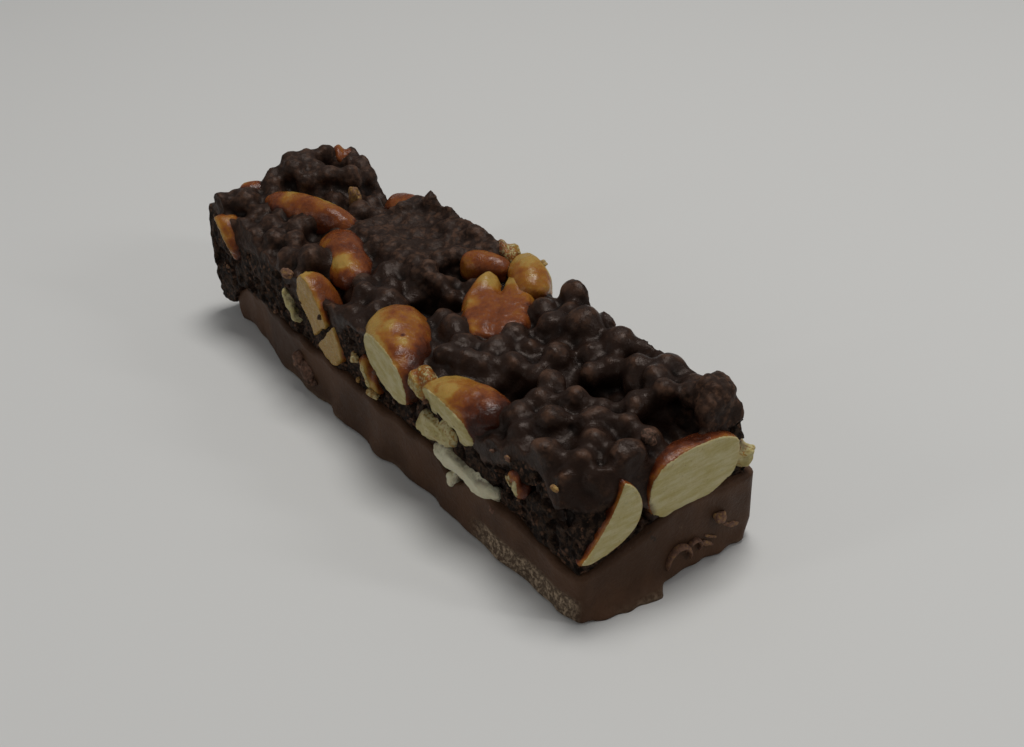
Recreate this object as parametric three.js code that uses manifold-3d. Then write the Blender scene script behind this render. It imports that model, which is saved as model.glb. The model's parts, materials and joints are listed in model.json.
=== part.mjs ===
// A peanut chocolate bar: a milk chocolate slab, a layer of chocolate-coated crisped rice on it,
// and roasted peanuts sunk in that layer, all sliced flat along the sides and the ends.
// Millimetres, +Z up. The origin is the middle of the underside, +X is the bar's length and the
// sides at -Y and +X are the ones where the sliced peanuts show.

import * as THREE from "three";
import { mergeVertices } from "three/addons/utils/BufferGeometryUtils.js";
import Module from "manifold-3d";

const wasm = await Module();
wasm.setup();

// Driving sizes of the bar
const LENGTH = 98;
const WIDTH = 28;
const MILK_TOP = 8.5;
const MASS_TOP = 18.7;
const SEAT_GAP = 0.3; // clearance between any two pieces that touch
const SLICE_INSET = 0.25; // how far the crisped layer stands back from the slab's sides
const PEANUT_INSET = 0.05; // the same for the peanuts, which were sliced with it
const FOOT_HEIGHT = 2.4; // how high the slab's spread foot reaches
const FOOT_SPREAD = 0.4;
const SKIRT = 0.4; // how far the crisped layer hangs over the slab's edge
const DRAPE = { drop: 3.6, out: 1.2, belly: 1.4 }; // the far corner, where it hangs lower and stands out
const SLAB_LEVELS = [0, 0.13, 0.3, 0.62, 1]; // heights of the slab's rings of vertices, as shares
const CORNER_CUT = 0.75; // how far the slab's near corners are drawn in
const EDGE_ROUND = 0.55; // how far the crisped layer's top edge is drawn in and down
const SIDE_ROUGHNESS = 0.45;

// Sizes of the crisped rice and of its scatter
const CRISP_RADIUS = [1.65, 2.25];
const CRISP_SPACING = 4.9;
const PEANUT_CLEARANCE = 1.14; // crisps keep out of a peanut's size times this
const CRISP_STAND = [-0.1, 0.35]; // how far a crisp's middle stands over the layer, in its radii
const CRISP_SHIFT = 0.75; // how far a crisp can lie from its place in the grid
const GRID_MARGIN = 1.75; // from the bar's sides to the first crisps
const ROW_STEP = CRISP_SPACING * 0.87;
const FACETED = 1.1; // a faceted ball is made this much larger, to hold as much as a round one

const HALF_LENGTH = LENGTH / 2;
const HALF_WIDTH = WIDTH / 2;

// Lumps and dips of the crisped layer's top: [x, y, reach along x, reach along y, height]
const TOP_FORMS = [
  [-46, 6.5, 8, 8.5, 4.6], // raised corner at the far end
  [-36.5, 14, 3.4, 4.5, -3.4], // notch beside it
  [-26, 12, 6, 6, 1.4],
  [-8, 14, 10, 5, 2.2],
  [18, 11.5, 8, 5, 2.6], // ridge along the far side
  [42, 11, 7, 6.5, 2.8],
  [37, -5, 8, 6, 0.8],
  [47, -13, 6, 4, -1],
  [20, -13, 8, 4, -0.8],
  [-20, -13, 14, 3, -1],
  [-49, -10, 5, 6, 1.2],
];

// The crusty plate that lies over the crisps: middle, half sizes, height and rim width
const CRUST = { x: -14.5, y: 8, halfX: 11.5, halfY: 7.6, rise: 2.6, rim: 2.4 };

// Hollows between the crisps: [x, y, z, radius along x, along y, along z, turn in degrees]
const HOLLOWS = [
  [-0.9, -1.8, 19.2, 5.8, 2.2, 5.4, 24],
  [30.4, 4.8, 20, 4.6, 2.9, 6.2, 24],
  [43.4, 5.4, 21, 3.6, 2.7, 5.4, 30],
  [24.6, -3.6, 19.4, 2.6, 1.9, 4.6, 0],
  [-13.4, -10, 18.6, 4.6, 1.3, 4.4, 12],
  [-4.6, 5.2, 21.4, 4.6, 1.6, 3.6, 42],
  [-44.6, 7.6, 23.8, 3.2, 2.2, 2.8, 55],
  [-36.8, 13.6, 20.4, 3, 3.4, 3, 0],
];

// Three points of the face left where the crisped layer's near corner broke away
const BROKEN_CORNER = [
  [43, -14, 18.2],
  [48.5, -14, 9.4],
  [49, -6.9, 18.4],
];

// Peanuts: kind, middle, [length, width, thickness], turn in degrees [about Z, about Y, about its
// own length]. A few also have their own taper, fullness or cleft, or the stretch of the length
// that is left of them, as distances from the middle.
const WHOLE = "whole";
const HALF = "half";
const CHUNK = "chunk";
const PEANUTS = [
  { name: "peanut_end_oval", kind: WHOLE, at: [48.7, 4.3, 14.9], size: [15, 9.6, 8.2], turn: [90, -4, 90] },
  {
    name: "peanut_end_wedge", kind: HALF, at: [48.1, -9.9, 13.7], size: [11.8, 7.4, 10.4],
    turn: [90, -54, 180], taper: -0.35, fullness: 1.7,
  },
  {
    name: "peanut_split", kind: WHOLE, at: [7.4, 4.4, 17.9], size: [17, 11, 9], turn: [138, -4, 0],
    taper: -0.04, fullness: 3.4, cleft: 0.62,
  },
  {
    name: "peanut_side_large", kind: WHOLE, at: [5.5, -11, 16.5], size: [17.6, 10.2, 10.2],
    turn: [-28, 3, 90],
  },
  { name: "peanut_side_near", kind: WHOLE, at: [22.4, -11.2, 16.2], size: [15.4, 8, 9], turn: [12, -8, 90] },
  { name: "peanut_ridge", kind: HALF, at: [-36, -2.3, 18.9], size: [21, 7, 9], turn: [15, -7, 20] },
  { name: "peanut_bend", kind: HALF, at: [-21.2, -4.6, 17.2], size: [17, 9.4, 8.2], turn: [-18, 0, -12] },
  {
    name: "peanut_side_upper", kind: WHOLE, at: [-14, -12.3, 14.4], size: [14.4, 7.8, 8],
    turn: [4, 52, 90], span: [-7.2, 1.6],
  },
  {
    name: "peanut_side_lower", kind: WHOLE, at: [-13.6, -12.8, 15], size: [17, 8.6, 7.4],
    turn: [4, 44, 90], span: [2.9, 9],
  },
  {
    name: "peanut_back_edge", kind: WHOLE, at: [4.9, 11.9, 19.6], size: [11.4, 7.4, 6.8],
    turn: [-32, 0, 90],
  },
  { name: "peanut_back_left", kind: WHOLE, at: [-26.8, 12, 18], size: [12.6, 7.4, 6.6], turn: [6, 0, 90] },
  { name: "peanut_behind", kind: WHOLE, at: [-2.2, 9.2, 20.1], size: [8.6, 5.4, 5], turn: [30, 0, 90] },
  { name: "peanut_far_edge", kind: WHOLE, at: [-47.7, -5.9, 20.9], size: [5, 3.4, 3.4], turn: [62, 0, 90] },
  {
    name: "peanut_far_side", kind: WHOLE, at: [-44.2, -12.2, 15.9], size: [8.8, 5.6, 6.4],
    turn: [6, 30, 90],
  },
  { name: "peanut_far_top", kind: CHUNK, at: [-47.6, 10.6, 22.9], size: [4.6, 4, 4], turn: [20, 0, 0] },
  { name: "peanut_fleck", kind: CHUNK, at: [-2.6, 13.3, 21], size: [5, 3.6, 4], turn: [30, 0, 0] },
  { name: "peanut_side_sliver", kind: CHUNK, at: [-22.6, -13, 13.2], size: [5.6, 3, 2], turn: [0, 52, 0] },
  { name: "peanut_side_crumb", kind: CHUNK, at: [0.4, -12.8, 11.9], size: [6.4, 3.2, 2.6], turn: [0, 46, 0] },
  { name: "peanut_between", kind: CHUNK, at: [14.4, -12.4, 16.6], size: [4.6, 4, 5], turn: [20, 30, 0] },
  { name: "peanut_under", kind: CHUNK, at: [18, -12.8, 12.2], size: [9.6, 4, 4], turn: [0, -10, 0] },
  { name: "peanut_cut_sliver", kind: CHUNK, at: [24.2, -12.6, 8.9], size: [15, 4.4, 2.8], turn: [0, 2, 0] },
  { name: "peanut_cut_fork", kind: CHUNK, at: [21.6, -13.2, 6.3], size: [3.8, 2.6, 1.8], turn: [0, -58, 0] },
  { name: "peanut_side_chip", kind: CHUNK, at: [36.2, -13, 13.9], size: [4, 2.4, 2.4], turn: [0, 50, 0] },
  { name: "peanut_corner_chip", kind: CHUNK, at: [47.6, 12.9, 13.4], size: [3.6, 3.2, 3], turn: [0, 20, 0] },
  { name: "peanut_back_near", kind: WHOLE, at: [29, 11.6, 13.6], size: [16, 9, 8.6], turn: [4, -12, 90] },
  { name: "peanut_back_middle", kind: HALF, at: [12.4, 12.6, 13.2], size: [13, 8.4, 8], turn: [28, -24, 40] },
  { name: "peanut_back_far", kind: WHOLE, at: [-14.5, 12, 13.4], size: [16, 9, 8], turn: [-8, 16, 90] },
  { name: "peanut_far_cut", kind: WHOLE, at: [-46.9, 4.2, 13.4], size: [15, 8.6, 8.4], turn: [88, 8, 90] },
];

// Shape of a peanut
const GERM_TAPER = 0.13; // how much narrower the germ end is
const FULLNESS = 2.5; // exponent of its outline, 2 for an ellipse
const SEAM_DEPTH = 0.06; // groove between its halves, as a share of the radius
const GERM_DEPTH = 0.3; // the same at the germ end
const GERM_DIMPLE = 0.3; // how far that groove cuts into the end, as a share of its depth
const SEAM_HALF_ANGLE = 0.34;
const HALF_FLOOR = -0.06; // where a half's flat face lies, as a share of its thickness
const CHUNK_ROUGHNESS = 0.16;

const smoothstep = THREE.MathUtils.smoothstep;

// A repeatable number from 0 to 1 for a whole number and a stream of draws.
function draw(index, stream) {
  const wave = Math.sin(index * 12.9898 + stream * 78.233) * 43758.5453;
  return wave - Math.floor(wave);
}

// A flat-topped hill that dies away at its reach.
function hill(x, y, [atX, atY, reachX, reachY, height]) {
  const away = ((x - atX) / reachX) ** 2 + ((y - atY) / reachY) ** 2;
  return height * Math.exp(-(away ** 1.5));
}

// Height of the slab's top: higher across the near end, lower at the far end.
function milkTop(x, y) {
  const nearEnd = smoothstep(x, 30, 47) * smoothstep(y, -9, 2) * 2.4;
  const nearSide = -1.3 * smoothstep(x, 32, 44) * smoothstep(-y, 6, 13);
  const dip = hill(x, y, [22, -14, 2.6, 3, -2.2]);
  const farEnd = -2.4 * smoothstep(-x, 38, 47) * smoothstep(-y, 2, 12);
  return MILK_TOP + nearEnd + nearSide + dip + farEnd + 0.25 * Math.sin(x * 0.9 + y * 0.4);
}

// Height of the crisped layer's core, before crisps are added and hollows are cut.
function massTop(x, y) {
  const crustX = smoothstep(CRUST.halfX + CRUST.rim - Math.abs(x - CRUST.x), 0, CRUST.rim);
  const crustY = smoothstep(CRUST.halfY + CRUST.rim - Math.abs(y - CRUST.y), 0, CRUST.rim);
  const forms = TOP_FORMS.reduce((sum, form) => sum + hill(x, y, form), 0);
  return MASS_TOP + forms + CRUST.rise * crustX * crustY + 0.35 * Math.sin(x * 1.3) * Math.cos(y * 1.1);
}

// 1 at the far corner of the near side, where the crisped layer hangs down over the slab's end.
function farDrape(x, y) {
  return smoothstep(-x, 42, 47) * smoothstep(-y, 3, 10);
}

// How far the slab's long side bows out or in at a place along the bar.
function sideWave(x) {
  const farRecess = -2.3 * smoothstep(-x, 20, 40);
  return farRecess + 0.3 * Math.sin(x * 0.62) + 0.22 * Math.sin(x * 0.23 + 1) + 0.2;
}

// How far the slab's far end stands back under the crisped layer that hangs over it.
function farEndRecess(y) {
  return 3 * smoothstep(-y, 2, 12);
}

// The thin lip that ran out under the near end before it set.
function endLip(y) {
  return 1.7 * smoothstep(y, -14, -5) * (1 - smoothstep(y, -2.4, -0.6)) + 0.2 * Math.sin(y * 1.7);
}

// The bulge of the slab at the far corner of the near end.
function cornerBulge(x, y, z) {
  return 1.5 * smoothstep(x, 40, 47) * smoothstep(y, 8, 14) * smoothstep(z, 0, 3);
}

// A closed box of quads whose vertices run from -1 to 1 along X and Y and from 0 to 1 along Z.
function unitBox(segmentsX, segmentsY, segmentsZ) {
  const box = new THREE.BoxGeometry(2, 2, 1, segmentsX, segmentsY, segmentsZ);
  return box.translate(0, 0, 0.5);
}

function moveVertices(geometry, place) {
  const position = geometry.getAttribute("position");
  const point = new THREE.Vector3();
  for (let i = 0; i < position.count; i++) {
    place(point.fromBufferAttribute(position, i));
    position.setXYZ(i, point.x, point.y, point.z);
  }
  return geometry;
}

function solidFrom(geometry) {
  const bare = new THREE.BufferGeometry().setAttribute("position", geometry.getAttribute("position"));
  bare.setIndex(geometry.getIndex());
  const merged = mergeVertices(bare, 1e-4);
  const triVerts = new Uint32Array(merged.index.array);
  return new wasm.Manifold(
    new wasm.Mesh({ numProp: 3, vertProperties: merged.attributes.position.array, triVerts }),
  );
}

function geometryFrom(solid) {
  const mesh = solid.getMesh();
  const vertices = new Float32Array(mesh.numVert * 3);
  for (let i = 0; i < mesh.numVert; i++) {
    vertices.set(mesh.vertProperties.subarray(i * mesh.numProp, i * mesh.numProp + 3), i * 3);
  }
  const geometry = new THREE.BufferGeometry();
  geometry.setAttribute("position", new THREE.BufferAttribute(vertices, 3));
  geometry.setIndex(new THREE.BufferAttribute(mesh.triVerts, 1));
  geometry.computeVertexNormals();
  return geometry;
}

// The largest body of a solid, without the loose scraps that cutting leaves.
function largestBody(solid) {
  const bodies = solid.decompose();
  return bodies.reduce((best, body) => (body.volume() > best.volume() ? body : best));
}

// The milk chocolate slab: wavy sides, rounded corners, a spread foot and a lip under the near end.
function milkSlab() {
  const geometry = moveVertices(unitBox(26, 5, SLAB_LEVELS.length - 1), (p) => {
    const share = SLAB_LEVELS[Math.round(p.z * (SLAB_LEVELS.length - 1))];
    const x = p.x * HALF_LENGTH;
    const y = p.y * HALF_WIDTH;
    const z = share * (milkTop(x, y) - SEAT_GAP / 2);
    const foot = Math.max(0, 1 - z / FOOT_HEIGHT);
    const cornerCut = Math.abs(p.x) === 1 && p.y === -1 ? CORNER_CUT : 0;
    p.x = x - Math.sign(x) * cornerCut;
    if (x === HALF_LENGTH) p.x += foot * (FOOT_SPREAD + endLip(y));
    if (x === -HALF_LENGTH) p.x += farEndRecess(y);
    p.y = y + p.y * (sideWave(x) * (0.6 + 0.4 * foot) + FOOT_SPREAD * foot - cornerCut);
    p.y += cornerBulge(x, y, z);
    p.z = z;
  });
  return solidFrom(geometry);
}

// The core of the crisped layer, a rough block on the slab.
function massCore() {
  const geometry = moveVertices(unitBox(22, 6, 2), (p) => {
    const x = p.x * (HALF_LENGTH - SLICE_INSET);
    const y = p.y * (HALF_WIDTH - SLICE_INSET);
    const drape = farDrape(x, y);
    const low = milkTop(x, y) - SKIRT - DRAPE.drop * drape;
    const round = p.z === 1 ? EDGE_ROUND : 0;
    const rough = SIDE_ROUGHNESS * Math.abs(Math.sin(x * 2.1 + p.z * 9) * Math.cos(p.z * 7 + x * 0.7));
    const bulge = drape * (DRAPE.out + DRAPE.belly * Math.sin(Math.PI * p.z));
    const onSide = Math.abs(p.y) === 1 ? 1 : 0;
    const onEnd = Math.abs(p.x) === 1 ? 1 : 0;
    p.z = THREE.MathUtils.lerp(low, massTop(x, y), p.z) - round * Math.max(onSide, onEnd);
    p.x = x - Math.sign(x) * onEnd * (round + rough / 2 - bulge);
    p.y = y - Math.sign(y) * onSide * (round + rough);
  });
  return solidFrom(geometry);
}

function onCrust(x, y) {
  return Math.abs(x - CRUST.x) < CRUST.halfX && Math.abs(y - CRUST.y) < CRUST.halfY;
}

// The turn of a peanut as a quaternion: about its own length first, then about Y, then about Z.
function peanutTurn({ turn }) {
  const [aboutZ, aboutY, aboutLength] = turn.map(THREE.MathUtils.degToRad);
  return new THREE.Quaternion().setFromEuler(new THREE.Euler(aboutLength, aboutY, aboutZ, "ZYX"));
}

// Whether a crisp's middle would lie in a peanut or just on it.
function onPeanut(x, y, z) {
  return PEANUTS.some((row) => {
    const away = new THREE.Vector3(x, y, z).sub(new THREE.Vector3(...row.at));
    away.applyQuaternion(peanutTurn(row).invert());
    const [length, width, thickness] = row.size;
    return Math.hypot(away.x / length, away.y / width, away.z / thickness) < PEANUT_CLEARANCE / 2;
  });
}

// Seats of the crisps: a loosened grid over the top, left open where the crusty plate lies.
function crispSeats() {
  const seats = [];
  const rows = Math.floor((WIDTH - 1) / ROW_STEP);
  const columns = Math.floor((LENGTH - 1) / CRISP_SPACING);
  for (let row = 0; row <= rows; row++) {
    for (let column = 0; column <= columns; column++) {
      const index = row * (columns + 1) + column;
      const along = (column + (row % 2) / 2) * CRISP_SPACING;
      const x = -HALF_LENGTH + GRID_MARGIN + along + CRISP_SHIFT * (2 * draw(index, 1) - 1);
      const y = -HALF_WIDTH + GRID_MARGIN + row * ROW_STEP + CRISP_SHIFT * (2 * draw(index, 2) - 1);
      const radius = THREE.MathUtils.lerp(...CRISP_RADIUS, draw(index, 3));
      const z = massTop(x, y) + radius * THREE.MathUtils.lerp(...CRISP_STAND, draw(index, 4));
      const inside = Math.abs(x) < HALF_LENGTH - 0.6 && Math.abs(y) < HALF_WIDTH - 0.6;
      if (inside && !onCrust(x, y) && !onPeanut(x, y, z)) seats.push({ x, y, z, radius });
    }
  }
  return seats;
}

// A crisp, turned by an angle that differs from place to place.
function crisp({ x, y, z, radius }) {
  const geometry = new THREE.IcosahedronGeometry(radius * FACETED, 0).rotateX(x).rotateZ(y);
  return solidFrom(geometry.translate(x, y, z));
}

function hollow([x, y, z, reachX, reachY, reachZ, turnZ]) {
  const geometry = new THREE.IcosahedronGeometry(1, 1).scale(reachX, reachY, reachZ);
  geometry.rotateZ(THREE.MathUtils.degToRad(turnZ));
  return solidFrom(geometry.translate(x, y, z));
}

// One peanut's skin before it is cut: a full, slightly tapered body with a groove between its
// halves, or a rough lump. grow widens it all round, for the seat that it leaves in its neighbours.
function peanutBody(row, grow = 0) {
  const { kind, at, size, taper = GERM_TAPER, fullness = FULLNESS, cleft = GERM_DEPTH } = row;
  const radii = size.map((side) => side / 2 + grow);
  const rounds = kind === CHUNK ? 6 : 10;
  const geometry = new THREE.SphereGeometry(1, rounds, kind === CHUNK ? 4 : 8, Math.PI / 2);
  geometry.rotateZ(-Math.PI / 2); // the poles become the two ends
  moveVertices(geometry, (p) => {
    const ring = Math.sqrt(Math.max(0, 1 - p.x * p.x));
    const full = Math.pow(Math.max(0, 1 - Math.abs(p.x) ** fullness), 1 / fullness);
    let across = ring > 1e-6 ? full / ring : 0;
    if (kind === CHUNK) {
      across *= 1 + CHUNK_ROUGHNESS * Math.sin(p.x * 5 + Math.atan2(p.y, p.z) * 3 + at[0]);
    } else {
      const fromSeam = Math.min(Math.abs(Math.atan2(p.y, p.z)), Math.abs(Math.atan2(p.y, -p.z)));
      const depth = SEAM_DEPTH + cleft * smoothstep(p.x, 0.35, 1);
      const groove = kind === WHOLE ? depth * Math.exp(-((fromSeam / SEAM_HALF_ANGLE) ** 2)) : 0;
      across *= (1 - taper * p.x) * (1 - groove);
      if (kind === WHOLE && p.x > 0.99) p.x -= GERM_DIMPLE * cleft;
    }
    p.set(p.x * radii[0], p.y * across * radii[1], p.z * across * radii[2]);
    if (kind === HALF) p.z = Math.max(p.z, HALF_FLOOR * size[2] - grow);
  });
  return solidFrom(geometry.applyQuaternion(peanutTurn(row)).translate(...at));
}

// Keeps the part of a solid that lies between two distances from its middle, along its length.
function keepSpan(solid, row, [from, to]) {
  const along = new THREE.Vector3(1, 0, 0).applyQuaternion(peanutTurn(row));
  const middle = along.dot(new THREE.Vector3(...row.at));
  const kept = solid.trimByPlane(along.toArray(), middle + from);
  return kept.trimByPlane(along.clone().negate().toArray(), -(middle + to));
}

// Slices a solid flat along the bar's sides and ends, inset by a given amount.
function sliceToBar(solid, inset) {
  return solid
    .trimByPlane([1, 0, 0], -(HALF_LENGTH - inset))
    .trimByPlane([-1, 0, 0], -(HALF_LENGTH - inset))
    .trimByPlane([0, 1, 0], -(HALF_WIDTH - inset))
    .trimByPlane([0, -1, 0], -(HALF_WIDTH - inset));
}

// The peanuts as they lie, each cut clear of those before it, and the seats that they need.
function peanutsAndSeats() {
  const pieces = [];
  const seats = [];
  for (const row of PEANUTS) {
    let piece = sliceToBar(peanutBody(row), PEANUT_INSET);
    let seat = peanutBody(row, SEAT_GAP);
    if (row.span) {
      const [from, to] = row.span;
      piece = keepSpan(piece, row, [from, to]);
      seat = keepSpan(seat, row, [from - SEAT_GAP, to + SEAT_GAP]);
    }
    for (const taken of seats) piece = piece.subtract(taken);
    pieces.push({ name: row.name, solid: largestBody(piece) });
    seats.push(seat);
  }
  return { pieces, seats };
}

function joined(solids) {
  return solids.reduce((sum, solid) => sum.add(solid));
}

function crispedLayer(seats, slab) {
  const crisps = sliceToBar(joined(crispSeats().map(crisp)), SLICE_INSET / 2);
  const [a, b, c] = BROKEN_CORNER.map((point) => new THREE.Vector3(...point));
  const broken = new THREE.Plane().setFromCoplanarPoints(c, b, a); // its normal points into the layer
  const kept = massCore().add(crisps).trimByPlane(broken.normal.toArray(), -broken.constant);
  const raised = slab.translate([0, 0, SEAT_GAP]);
  const cuts = joined([raised, ...seats, ...HOLLOWS.map(hollow)]);
  return largestBody(kept.subtract(cuts));
}

function milkLayer(seats, slab) {
  return largestBody(slab.subtract(joined(seats)));
}

const milkChocolate = new THREE.MeshStandardMaterial({ color: 0x5a4238, roughness: 0.5, metalness: 0 });
const coatedCrisp = new THREE.MeshStandardMaterial({ color: 0x33261f, roughness: 0.38, metalness: 0 });
const roastedPeanut = new THREE.MeshStandardMaterial({ color: 0xb98644, roughness: 0.42, metalness: 0 });

function addPiece(group, name, solid, material) {
  const mesh = new THREE.Mesh(geometryFrom(solid), material);
  mesh.name = name;
  group.add(mesh);
}

const bar = new THREE.Group();
const { pieces, seats } = peanutsAndSeats();
const slab = milkSlab();
addPiece(bar, "milk_layer", milkLayer(seats, slab), milkChocolate);
addPiece(bar, "crisped_layer", crispedLayer(seats, slab), coatedCrisp);
pieces.forEach(({ name, solid }) => addPiece(bar, name, solid, roastedPeanut));

export default bar;
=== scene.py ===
"""A peanut chocolate bar on a plain pale floor.

The milk chocolate slab, the layer of coated crisped rice, the peanuts and the loose flakes are
each made by an operator of their own. Sizes in the code are millimetres until they reach a mesh.
"""
import itertools
import json
import math

import bpy
import numpy as np
from bpy.props import FloatProperty, FloatVectorProperty, IntProperty, PointerProperty
from bpy.types import Operator, Panel, PropertyGroup
from mathutils import Euler, Matrix, Vector
from mathutils.bvhtree import BVHTree
from mathutils.kdtree import KDTree

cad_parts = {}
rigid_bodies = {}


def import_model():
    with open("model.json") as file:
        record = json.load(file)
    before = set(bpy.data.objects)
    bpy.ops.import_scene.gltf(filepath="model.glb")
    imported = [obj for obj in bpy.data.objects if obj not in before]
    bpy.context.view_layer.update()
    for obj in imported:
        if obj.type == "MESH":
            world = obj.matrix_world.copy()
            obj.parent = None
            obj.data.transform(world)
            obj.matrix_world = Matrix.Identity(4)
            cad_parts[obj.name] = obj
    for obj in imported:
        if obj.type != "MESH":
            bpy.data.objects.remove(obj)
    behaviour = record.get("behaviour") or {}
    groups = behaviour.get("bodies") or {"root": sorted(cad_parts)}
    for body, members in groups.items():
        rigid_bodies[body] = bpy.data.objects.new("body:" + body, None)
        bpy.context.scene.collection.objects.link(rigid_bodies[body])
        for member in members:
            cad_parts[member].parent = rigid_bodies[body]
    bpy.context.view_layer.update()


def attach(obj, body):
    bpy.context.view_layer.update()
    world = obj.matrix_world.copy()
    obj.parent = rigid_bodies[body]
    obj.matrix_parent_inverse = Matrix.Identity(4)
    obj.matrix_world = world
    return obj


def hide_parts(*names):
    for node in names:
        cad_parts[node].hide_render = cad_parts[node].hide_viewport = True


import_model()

bl_info = {
    "name": "Peanut chocolate bar",
    "version": (1, 0, 0),
    "blender": (4, 5, 0),
    "location": "View3D > Sidebar > Peanut bar",
    "description": "Models a sliced snack bar of milk chocolate, coated crisped rice and peanuts",
    "category": "Add Mesh",
}

MM = 0.001

# Sizes that the slab, the crisped layer and the peanuts share
HALF_LENGTH = 49.0
HALF_WIDTH = 14.0
MILK_TOP = 8.5
MASS_TOP = 18.7
SLICE_INSET = 0.25
SIDE_WAVE = 0.25
PEANUT_INSET = 0.05
SLAB_CLEARANCE = 0.15
MASS_SINK = 0.5
FOOT_HEIGHT = 2.4
FOOT_SPREAD = 0.4
SLAB_CORNER = 1.7
DRAPE_DROP = 3.6
DRAPE_OUT = 2.2
DRAPE_BELLY = 0.6

# Lumps and dips of the crisped layer's top: x, y, reach along x, reach along y, height
TOP_FORMS = (
    (-46, 6.5, 8, 8.5, 4.6),
    (-36.5, 14, 3.4, 4.5, -3.4),
    (-26, 12, 6, 6, 1.4),
    (-8, 14, 10, 5, 2.2),
    (18, 11.5, 8, 5, 2.6),
    (42, 11, 7, 6.5, 2.8),
    (37, -5, 8, 6, 0.8),
    (47, -13, 6, 4, -1),
    (20, -13, 8, 4, -0.8),
    (-20, -13, 14, 3, -1),
    (-49, -10, 5, 6, 1.2),
    (-47.5, 0.6, 3.2, 3.2, 1.8),
    (29.8, -14, 4.4, 2.9, -3.1),
)

# The crust over the crisps: middle, half sizes, rise and rim
CRUST_X, CRUST_Y = -14.5, 8.0
CRUST_HALF_X, CRUST_HALF_Y = 11.5, 7.6
CRUST_RISE, CRUST_RIM = 2.6, 2.4

# Hollows between the crisps: x, y, z, radius along x, y and z, turn in degrees
HOLLOWS = (
    (-0.9, -1.8, 19.2, 5.8, 2.2, 5.4, 24),
    (31.6, 2.8, 20, 4.6, 3.3, 6.2, 24),
    (43.8, 4.7, 20.8, 4.1, 3.2, 5.6, 30),
    (25.4, -4.8, 19.6, 3.6, 2.6, 5.6, 10),
    (-14, -9.4, 18.8, 5.2, 1.5, 5.2, 4),
    (-4.6, 5.2, 21.4, 4.6, 1.6, 3.6, 42),
    (-44.6, 7.6, 23.8, 3.2, 2.2, 2.8, 55),
    (-36.8, 13.6, 20.4, 3, 3.4, 3, 0),
)

# Height over which the knife pressed the crisps down
TALLEST = 25

# Deep pits in the sliced sides: x, y, z, radius
SIDE_PITS = ((49, -4.4, 12.5, 1.1), (49, -4, 11.4, 1.6), (49, -3.4, 10.2, 1.2))

# Three points of the face left where the crisped layer's near corner broke away
BROKEN_CORNER = ((43, -14, 18.2), (48.5, -14, 9.4), (49, -6.9, 18.4))

# Spots tried for a crisp between those, and pores in the sliced sides
CRISP_TRIES = 7000
PORES = 30000

# Mesh sizes of the crisped layer, and how far the peanuts' seats stay inside the film
FIRST_VOXEL = 0.36
LAST_VOXEL = 0.31
MOST_TRIANGLES = 196000
SEAT_IN_FILM = 0.34

# Crisps that stand out in the top: x, y, radius, height of the middle over the layer in radii
CRISPS_ON_TOP = (
    (46.3, -4.6, 2.1, 0.55), (43.2, -9.3, 1.8, 0.3), (39.8, -11.6, 1.9, 0.2), (23.5, 2.3, 1.9, 0.5),
    (28.5, 4.3, 1.6, 0.1), (21.3, 8.6, 2.3, 0.5), (17.3, 6.3, 1.9, 0.5), (26.6, 10.6, 2.3, 0.4),
    (29.5, 13, 2.0, 0.3), (32.8, 13.2, 1.6, 0.3), (14.8, 12.6, 2.1, 0.4), (32.8, 8.6, 2.0, 0.4),
    (35.6, 11.4, 1.8, 0.4), (36.8, 8.2, 1.8, 0.3), (28.0, -1.8, 1.8, 0.4), (33.2, -2.2, 1.7, 0.3),
    (35.2, -7.2, 2.0, 0.3), (38.6, -3.2, 1.9, 0.4), (41.4, -0.6, 1.7, 0.4), (38.6, 3.2, 1.8, 0.4),
    (40.2, 6.4, 1.6, 0.4), (45.2, 10.2, 2.5, 0.2), (44, 13, 2.0, 0.2), (47, 8.4, 2.0, 0.1),
    (0.4, 5.2, 1.7, 0.3), (8.2, -3.6, 1.9, 0.3), (13.4, -8.4, 1.5, 0.5), (16.2, -7.3, 1.8, 0.5),
    (18.4, -5.8, 1.8, 0.4), (20.6, -2.6, 2.0, 0.3), (16.2, -2.2, 2.1, 0.2), (14.8, 1.8, 1.8, 0.4),
    (-5.4, -6.4, 2.1, 0.3), (-8.8, -8.2, 1.9, 0.2), (-3.4, -9.2, 1.8, 0.2), (-22.3, -9.3, 2.4, 0.6),
    (-26.3, -10.8, 1.9, 0.4), (-29.5, -8.4, 1.8, 0.4), (-32.6, -10.4, 1.8, 0.4), (-32.4, -6.2, 1.9, 0.5),
    (-36.4, -8.6, 2.0, 0.5), (-38.6, -5.6, 1.9, 0.6), (-35.2, -4.6, 1.6, 0.7), (-41.6, -8.5, 2.0, 0.5),
    (-40, -12, 1.9, 0.3), (-47.4, -12.4, 1.9, 0.4), (-47.6, -9, 1.9, 0.4), (-44.2, -4.2, 1.8, 0.4),
    (-47.8, -2.2, 1.9, 0.4), (-45.4, 0.6, 1.9, 0.4), (-42.4, 1.2, 1.8, 0.4), (-48, 4.4, 1.9, 0.2),
    (-47.8, 1.4, 1.9, 0.1), (-48, 7.6, 1.8, 0.5), (-46.6, 12.8, 1.8, 0.4), (-43, 12.8, 1.9, 0.4),
    (-40.4, 11.2, 1.9, 0.4), (-39.4, 7.8, 1.9, 0.4), (-41.2, 4.6, 1.7, 0.4), (-21.5, 12.8, 2.2, 0.2),
    (-17, 13.2, 1.7, 0.1), (-46.6, -3.2, 2.1, 0.7), (-45.6, -8.4, 2.1, 0.6),
)

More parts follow.
